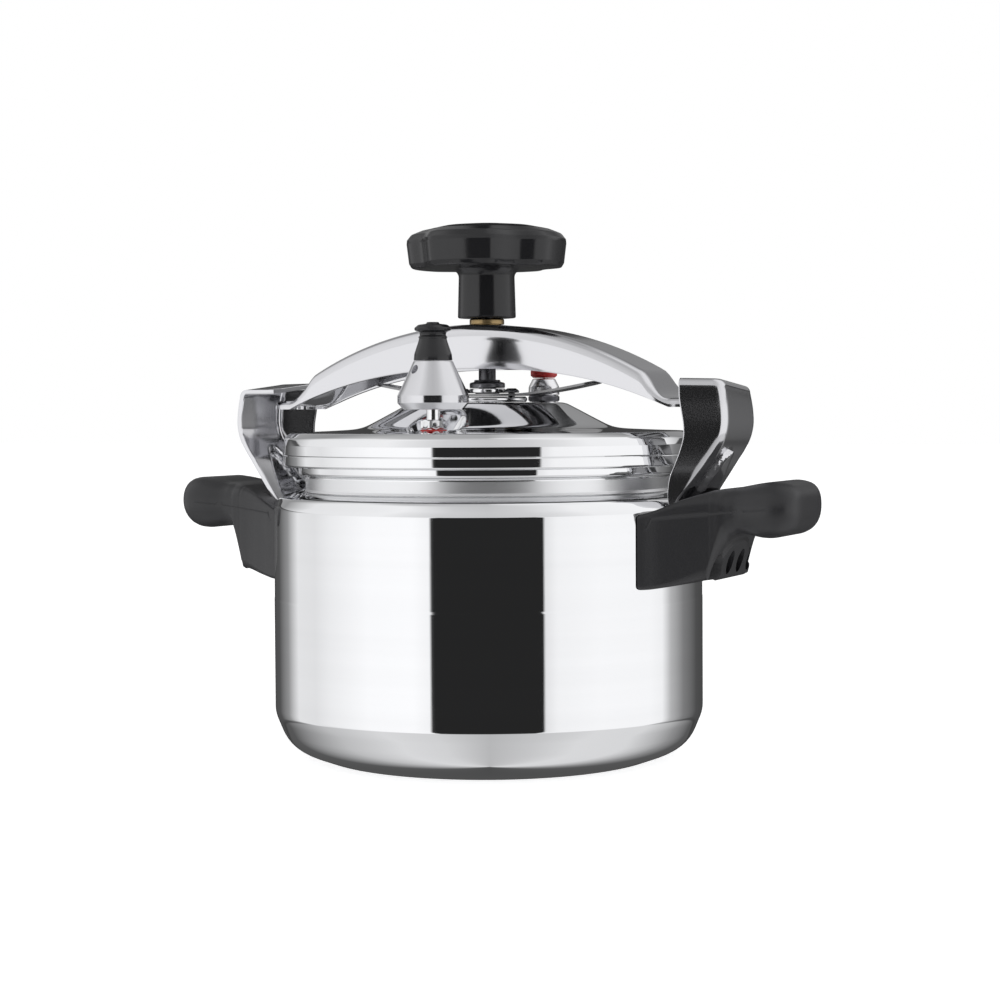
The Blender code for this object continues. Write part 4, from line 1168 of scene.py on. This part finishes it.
class COOKER_OT_safety_valve(bpy.types.Operator):
    """Build the safety valve: housing, nut, seal and red button."""
    bl_idname = "cooker.safety_valve"
    bl_label = "Safety valve"

    def execute(self, context):
        body = [(2.5, 170.0), (6.1, 170.0, 0.3), (6.1, 185.3), (8.1, 185.3, 0.5), (7.9, 189.6, 3.0),
                (5.8, 193.8, 1.2), (2.5, 193.9, 0.3), (2.5, 190.6), (4.7, 190.6), (4.7, 173.2),
                (2.5, 173.2)]
        fit_turned("valve_housing", body, (72, 4, True), "satin_steel", "cover", ["relief_body"],
                   "polished_steel", at=RELIEF_AT)
        fit_piece(hex_nut("valve_top_nut", 6.4, 15.4, 181.7, 185.1), "blackened_steel", "cover",
                  ["relief_nut"], "dark_steel", at=RELIEF_AT, turn=0.3)
        seal = [(6.4, 176.3, 0.3), (8.6, 176.3, 0.6), (8.6, 177.7, 0.6), (6.4, 177.7, 0.3)]
        fit_turned("valve_seal_red", seal, (64, 3, True), "red_silicone", "cover", ["relief_seal"],
                   "red_silicone", at=RELIEF_AT)
        button = [(0.0, 197.7), (2.4, 197.7), (2.4, 194.2), (5.6, 194.2, 0.5), (6.9, 195.3, 0.6),
                  (6.9, 198.0, 0.9), (5.4, 199.1, 1.4), (0.0, 199.4)]
        fit_turned("valve_button_red", button, (64, 4), "red_silicone", "relief_valve",
                   ["relief_button"], "red_silicone", at=RELIEF_AT)
        return {"FINISHED"}


# ---------------------------------------------------------------- yoke

YOKE_CREST, YOKE_ARCH_R = 221.0, 186.0
YOKE_HALF = 21.0
YOKE_CORNER = 6.2
TONGUE_TOP, TONGUE_LOW, TONGUE_START, TONGUE_TIP = 182.9, 178.5, 106.0, 119.3
TONGUE_ROUND, TONGUE_EASE = 109.0, 2.6
FLANGE_MID = 198.4


def yoke_top(x):
    """Top of the yoke: an arch that eases into flat tongues."""
    ax = min(abs(x), TONGUE_START)
    arch = YOKE_CREST - (YOKE_ARCH_R - math.sqrt(YOKE_ARCH_R ** 2 - ax * ax))
    return arch + (TONGUE_TOP - arch) * step_smooth(ax, 91.0, TONGUE_START)


def yoke_low(x):
    """Lower edge of the yoke's flanges."""
    share = min(abs(x) / TONGUE_START, 1.0)
    return FLANGE_MID + (TONGUE_LOW - FLANGE_MID) * share ** 2.4


def yoke_half(x):
    """Half width: straight, drawn in and rounded at the tongue's tip."""
    ax = abs(x)
    half = YOKE_HALF - 2.0 * step_smooth(ax, 96.0, 111.0)
    if ax > TONGUE_ROUND:
        run = min((ax - TONGUE_ROUND) / (TONGUE_TIP - TONGUE_ROUND), 1.0)
        half -= 11.0 * (1.0 - math.sqrt(1.0 - run * run))
    return half


def build_yoke():
    """The polished channel: one bent surface given the sheet's thickness."""
    stations = [1.5 * k for k in range(70)] + [106.0, 107.0, 108.0, TONGUE_ROUND]
    stations += [TONGUE_ROUND + (TONGUE_TIP - TONGUE_ROUND) * math.sin(math.pi / 2.0 * k / 12)
                 for k in range(1, 13)]
    stations = [-x for x in stations[:0:-1]] + stations
    rows = []
    for x in stations:
        top, low, half = yoke_top(x), yoke_low(x), yoke_half(x)
        ax = abs(x)
        back = ax - (TONGUE_TIP - TONGUE_EASE)
        if back > 0.0:
            top -= TONGUE_EASE - math.sqrt(max(TONGUE_EASE ** 2 - back ** 2, 0.0))
        corner = min(YOKE_CORNER, (top - low) * 0.7)
        low = min(low, top - corner - 0.2)
        side = [(half, low + (top - corner - low) * k / 5.0) for k in range(6)]
        bend = [(half - corner + corner * math.cos(a), top - corner + corner * math.sin(a))
                for a in (math.pi / 2.0 * k / 7 for k in range(1, 8))]
        flat = [((half - corner) * (1 - k / 6.0), top) for k in range(1, 7)]
        right = side + bend + flat
        left = [(-y, z) for y, z in right[-2::-1]]
        rows.append([(x, y, z) for y, z in right + left])
    bm = bmesh.new()
    skin_rings(bm, rows, wrap=False)
    yoke = to_object("arched_yoke_channel", bm)
    face_along(yoke, 2, lambda centre: abs(centre.y) < 0.01)
    thicken(yoke, sizes().yoke_sheet)
    ease_edges(yoke, 0.45, 50.0)
    hole = bmesh.new()
    rod(hole, 7.3, 205.0, 230.0, segments=64)
    carve(yoke, hole)
    return yoke


class COOKER_OT_yoke(bpy.types.Operator):
    """Build the arched yoke with its brass bush and clip."""
    bl_idname = "cooker.yoke"
    bl_label = "Yoke"

    def execute(self, context):
        fit_piece(build_yoke(), "polished_steel", "yoke_arm", ["yoke"], "polished_steel")
        bush = [(4.7, 214.0), (7.0, 214.0, 0.4), (7.0, 221.35), (8.9, 221.35, 0.4), (8.9, 224.3, 0.9),
                (5.2, 224.3, 0.4), (4.7, 223.8, 0.2)]
        fit_turned("brass_bush", bush, (96, 4, True), "turned_brass", "yoke_arm", ["yoke_bush"],
                   "brass")
        clip = [(7.3, 216.3, 0.2), (10.4, 216.3, 0.3), (10.4, 217.6, 0.3), (7.3, 217.6, 0.2)]
        ring = to_object("bush_spring_clip", turned(clip, 64, 3, True))
        carve(ring, box((4.5, 6.0, 4.0), (0.0, 9.0, 217.0)))
        fit_piece(ring, "blackened_steel", "yoke_arm", ["bush_clip"], "dark_steel")
        return {"FINISHED"}


# ---------------------------------------------------------------- screw and knob

SCREW_R, SCREW_SEGMENTS = 4.4, 48


def threaded_rod(radius, z0, z1, pitch, depth):
    """A screw with a real helical thread that runs out at both ends."""
    bm = bmesh.new()
    count = int((z1 - z0) / pitch * 10)

    def thread_radius(angle, r, z):
        fade = step_smooth(z, z0, z0 + 4.0) * (1.0 - step_smooth(z, z1 - 3.0, z1))
        turn = (z / pitch - angle / (2.0 * math.pi)) % 1.0
        return r - depth * step_smooth(abs(turn - 0.5) * 2.0, 0.25, 0.75) * fade

    skin_rings(bm, [level_ring(radius, z0 + (z1 - z0) * k / count, SCREW_SEGMENTS, thread_radius)
                    for k in range(count + 1)])
    return bm


class COOKER_OT_screw(bpy.types.Operator):
    """Build the clamping screw with its thread and foot, and the knob's brass insert."""
    bl_idname = "cooker.screw"
    bl_label = "Clamping screw"

    def execute(self, context):
        pitch, depth = sizes().thread_pitch / MM, sizes().thread_depth / MM
        bm = threaded_rod(SCREW_R, 204.0, 231.0, pitch, depth)
        foot = rounded_profile([(0.0, 184.7), (5.4, 184.7, 0.8), (6.2, 185.6, 0.4), (6.2, 188.5, 0.5),
                                (SCREW_R, 188.5, 0.4), (SCREW_R, 204.0)], 4)
        head = rounded_profile([(SCREW_R, 231.0), (SCREW_R, 257.4, 0.6), (3.4, 258.2, 0.4),
                                (0.0, 258.2)], 3)
        for profile in (foot, head):
            skin_rings(bm, [level_ring(r, z, SCREW_SEGMENTS) for r, z in profile])
        bmesh.ops.remove_doubles(bm, verts=bm.verts, dist=1e-4)
        fit_piece(to_object("clamping_screw", bm), "blackened_steel", "clamp_screw", ["screw_spindle"],
                  "polished_steel")
        insert = [(4.7, 232.4), (7.4, 232.4, 0.4), (7.4, 256.0, 0.4), (4.7, 256.0)]
        fit_turned("knob_brass_insert", insert, (64, 3, True), "turned_brass", "clamp_screw",
                   ["knob_insert"], "brass")
        return {"FINISHED"}


KNOB_HUB, KNOB_R = 17.0, 41.0


def knob_outline(angle, r, z):
    """Four broad lobes with shallow scallops; the hub and the underside stay round."""
    if z < 249.6 or r < KNOB_HUB:
        return r
    pitch = math.pi / 2.0
    off = (angle - math.radians(4.0)) % pitch - pitch / 2.0
    share = min(abs(off) / math.radians(25.0), 1.0)
    dip = 5.2 * math.cos(share * math.pi / 2.0) ** 2
    weight = step_smooth(r, KNOB_HUB, 38.0)
    return r - dip * weight * min(r / KNOB_R, 1.0)


class COOKER_OT_knob(bpy.types.Operator):
    """Build the black lobed knob with its hub, hollowed for the bush."""
    bl_idname = "cooker.knob"
    bl_label = "Knob"

    def execute(self, context):
        profile = [(0.0, 258.6), (7.7, 258.6, 0.3), (7.7, 231.8), (9.8, 231.8, 0.3), (9.8, 224.7, 0.5),
                   (14.9, 224.7, 0.9), (14.3, 247.0, 4.0), (17.4, 250.0, 2.0), (34.0, 250.0),
                   (38.4, 250.2, 1.6), (39.8, 252.6, 1.6), (41.0, 262.6, 2.0), (40.8, 264.6, 0.8),
                   (38.6, 267.4, 3.0), (33.0, 269.6, 6.0), (24.0, 271.4, 8.0), (12.0, 272.5, 6.0),
                   (0.0, 272.7)]
        knob = to_object("lobed_knob", turned(profile, 240, 6, radius_at=knob_outline))
        fit_piece(knob, "knob_bakelite", "clamp_screw", ["knob"], "black_bakelite", sharp=42.0)
        return {"FINISHED"}


# ---------------------------------------------------------------- parts kept from the frame

KEPT_PARTS = {
    "hub_washer": "turned_steel", "hub_nut": "turned_steel", "vent_inner_nut": "turned_steel",
    "weight_needle": "turned_steel", "relief_inner_nut": "turned_steel",
    "relief_stem": "turned_steel", "relief_spring": "turned_steel",
}


class COOKER_OT_kept_parts(bpy.types.Operator):
    """Give the small hidden parts that stay as they are a proper finish."""
    bl_idname = "cooker.kept_parts"
    bl_label = "Hidden small parts"

    def execute(self, context):
        for node, finish in KEPT_PARTS.items():
            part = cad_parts[node]
            part.data.materials.clear()
            part.data.materials.append(finish_of(finish))
        left = [name for name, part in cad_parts.items()
                if not part.hide_render and name not in KEPT_PARTS]
        if left:
            raise RuntimeError(f"these parts have no finish yet: {left}")
        return {"FINISHED"}


# ---------------------------------------------------------------- stage

# Brightness of the surround as (degrees round from the camera, level): at the cooker's own height,
# above it, overhead, and the lit floor.
PANELS = [(-180, 0.05), (-150, 0.09), (-134, 0.3), (-121, 0.84), (-104, 0.82), (-92, 0.92),
          (-66, 1.06), (-40, 1.08), (-30.5, 1.0), (-29.5, 0.02), (28.2, 0.02), (29.2, 0.84), (36, 0.98),
          (60, 1.03), (94, 1.02), (104, 0.96), (112, 0.5), (126, 0.22), (146, 0.08), (180, 0.05)]
CEILING_LOW = [(-180, 0.03), (-176.6, 0.03), (-175.2, 0.33), (-164, 0.36), (-146, 0.3), (-120, 0.85),
               (-60, 0.95), (-25, 0.68), (0, 0.62), (25, 0.68), (60, 0.95), (116, 1.0), (146, 0.25),
               (164, 0.3), (174.6, 0.26), (176.2, 0.03), (180, 0.03)]
CEILING_TOP = [(-180, 0.4), (-120, 0.46), (-60, 0.55), (0, 0.56), (60, 0.86), (116, 0.92), (180, 0.4)]
FLOOR_GLOW = [(-180, 0.08), (-146, 0.1), (-126, 0.3), (-100, 0.55), (-60, 0.76), (-30, 0.7), (0, 0.52),
              (30, 0.62), (60, 0.76), (96, 0.74), (116, 0.5), (130, 0.3), (150, 0.1), (180, 0.08)]


HEADROOM = 1.25  # the ramps hold levels up to this, and the surround's strength gives it back
FLOOR_HALF, FLOOR_GIVES = 9.0, 0.62
LENS, SENSOR, SHIFT = 79.0, 36.0, 0.012
PITCH, ROLL = math.radians(-2.37), math.radians(-0.35)


class COOKER_OT_stage(bpy.types.Operator):
    """Set up the pale floor, the soft surround and the camera."""
    bl_idname = "cooker.stage"
    bl_label = "Stage"

    def execute(self, context):
        studio = context.scene.cooker_stage
        facing = studio.azimuth - math.pi / 2.0
        toward = Vector((math.cos(facing), math.sin(facing), 0.0))
        across = Vector((-toward.y, toward.x, 0.0))
        self.floor()
        self.surround(toward, across, studio.brightness)
        self.camera(studio, toward)
        return {"FINISHED"}

    def floor(self):
        """A wide pale floor."""
        bm = bmesh.new()
        grid = [FLOOR_HALF * (i / 2.0 - 1.0) for i in range(5)]
        skin_rings(bm, [[(x, y, 0.0) for x in grid] for y in grid], wrap=False)
        mesh = bpy.data.meshes.new("pale_floor")
        bm.to_mesh(mesh)
        bm.free()
        floor = bpy.data.objects.new("pale_floor", mesh)
        bpy.context.scene.collection.objects.link(floor)
        mat, tree, shader = new_material("pale_floor", (0.93, 0.93, 0.93), 0.0, 0.6)
        soft = noise(tree, object_position(tree), 5.0, 2.0)
        tint(tree, shader, soft, (0.92, 0.92, 0.92), (0.94, 0.94, 0.94))
        shader.inputs["Specular IOR Level"].default_value = 0.1
        shader.inputs["Emission Color"].default_value = (1.0, 1.0, 1.0, 1.0)
        shader.inputs["Emission Strength"].default_value = FLOOR_GIVES
        mesh.materials.append(mat)
        floor.visible_glossy = False

    def surround(self, toward, across, brightness):
        """A studio round the cooker: white side panels, a dark strip behind the camera and a
        soft ceiling that falls away at the back. The camera itself sees plain white."""
        world = bpy.data.worlds.new("studio")
        bpy.context.scene.world = world
        world.use_nodes = True
        tree = world.node_tree
        tree.nodes.clear()
        direction = tree.nodes.new("ShaderNodeTexCoord").outputs["Generated"]

        def along(axis):
            node = tree.nodes.new("ShaderNodeVectorMath")
            node.operation = "DOT_PRODUCT"
            node.inputs[1].default_value = axis
            tree.links.new(direction, node.inputs[0])
            return node.outputs["Value"]

        def ramp(value, stops):
            share = math_node(tree, "DIVIDE", math_node(tree, "ADD", value, 180.0), 360.0)
            node = tree.nodes.new("ShaderNodeValToRGB")
            elements = node.color_ramp.elements
            while len(elements) < len(stops):
                elements.new(0.5)
            for element, (at, level) in zip(elements, stops):
                element.position = (at + 180.0) / 360.0
                element.color = (level / HEADROOM, level / HEADROOM, level / 1.24, 1.0)
            tree.links.new(share, node.inputs[0])
            return node.outputs["Color"]

        def blend(factor, first, second):
            node = tree.nodes.new("ShaderNodeMix")
            node.data_type = "RGBA"
            tree.links.new(factor, node.inputs["Factor"])
            tree.links.new(first, node.inputs["A"])
            tree.links.new(second, node.inputs["B"])
            return node.outputs["Result"]

        azimuth = math_node(tree, "ARCTAN2", along(across), along(toward))
        azimuth = math_node(tree, "MULTIPLY", azimuth, 180.0 / math.pi)
        height = along((0.0, 0.0, 1.0))
        off_middle = math_node(tree, "ABSOLUTE", math_node(tree, "ADD", height, 0.06))
        card_end = rise(tree, off_middle, 0.17, 0.225)
        bend = math_node(tree, "ADD", math_node(tree, "MULTIPLY", card_end, 0.16), 1.0)
        level = ramp(math_node(tree, "MULTIPLY", azimuth, bend), PANELS)
        above = blend(rise(tree, height, 0.78, 0.95), ramp(azimuth, CEILING_LOW),
                      ramp(azimuth, CEILING_TOP))
        room = blend(rise(tree, height, 0.158, 0.168), level, above)
        room = blend(rise(tree, height, -0.27, -0.3), room, ramp(azimuth, FLOOR_GLOW))
        out = tree.nodes.new("ShaderNodeOutputWorld")
        mix = tree.nodes.new("ShaderNodeMixShader")
        studio = tree.nodes.new("ShaderNodeBackground")
        page = tree.nodes.new("ShaderNodeBackground")
        tree.links.new(room, studio.inputs["Color"])
        studio.inputs["Strength"].default_value = brightness * HEADROOM
        page.inputs["Color"].default_value = (1.0, 1.0, 1.0, 1.0)
        path = tree.nodes.new("ShaderNodeLightPath")
        tree.links.new(path.outputs["Is Camera Ray"], mix.inputs[0])
        tree.links.new(studio.outputs[0], mix.inputs[1])
        tree.links.new(page.outputs[0], mix.inputs[2])
        tree.links.new(mix.outputs[0], out.inputs["Surface"])

    def camera(self, studio, toward):
        """The camera, level with the lid and turned a little to the right."""
        data = bpy.data.cameras.new("camera")
        data.sensor_width, data.lens, data.shift_x = SENSOR, LENS, SHIFT
        camera = bpy.data.objects.new("camera", data)
        bpy.context.scene.collection.objects.link(camera)
        camera.location = toward * studio.distance + Vector((0.0, 0.0, studio.height))
        turn = (Matrix.Rotation(studio.azimuth, 4, "Z")
                @ Matrix.Rotation(math.pi / 2.0 + PITCH, 4, "X") @ Matrix.Rotation(ROLL, 4, "Z"))
        camera.rotation_mode = "QUATERNION"
        camera.rotation_quaternion = turn.to_quaternion()
        data.clip_start, data.clip_end = 0.01, 100.0
        bpy.context.scene.camera = camera
        bpy.context.scene.view_settings.view_transform = "Standard"


# ---------------------------------------------------------------- panel and registration

OPERATORS = (COOKER_OT_pot, COOKER_OT_ears, COOKER_OT_handles, COOKER_OT_sealing_ring, COOKER_OT_lid,
             COOKER_OT_hub, COOKER_OT_vent, COOKER_OT_weight, COOKER_OT_safety_valve, COOKER_OT_yoke,
             COOKER_OT_screw, COOKER_OT_knob, COOKER_OT_kept_parts, COOKER_OT_stage)


class COOKER_PT_panel(bpy.types.Panel):
    """The sizes, colours and building steps of the cooker."""
    bl_label = "Pressure Cooker"
    bl_idname = "COOKER_PT_panel"
    bl_space_type = "VIEW_3D"
    bl_region_type = "UI"
    bl_category = "Cooker"

    def draw(self, context):
        layout = self.layout
        for group in (context.scene.cooker_sizes, context.scene.cooker_colours,
                      context.scene.cooker_stage):
            box = layout.box()
            for name in group.__annotations__:
                box.prop(group, name)
        for operator in OPERATORS:
            layout.operator(operator.bl_idname)


SETTINGS = (("cooker_sizes", CookerSizes), ("cooker_colours", CookerColours),
            ("cooker_stage", CookerStage))
CLASSES = tuple(group for _, group in SETTINGS) + OPERATORS + (COOKER_PT_panel,)


def register():
    """Register the settings, operators and panel."""
    for cls in CLASSES:
        bpy.utils.register_class(cls)
    for name, group in SETTINGS:
        setattr(bpy.types.Scene, name, bpy.props.PointerProperty(type=group))


def unregister():
    """Take everything out again."""
    for name, _ in SETTINGS:
        delattr(bpy.types.Scene, name)
    for cls in reversed(CLASSES):
        bpy.utils.unregister_class(cls)


def main():
    """Build every finished piece and the stage."""
    register()
    for operator in OPERATORS:
        group, step = operator.bl_idname.split(".")
        getattr(getattr(bpy.ops, group), step)()


if __name__ == "__main__":
    main()
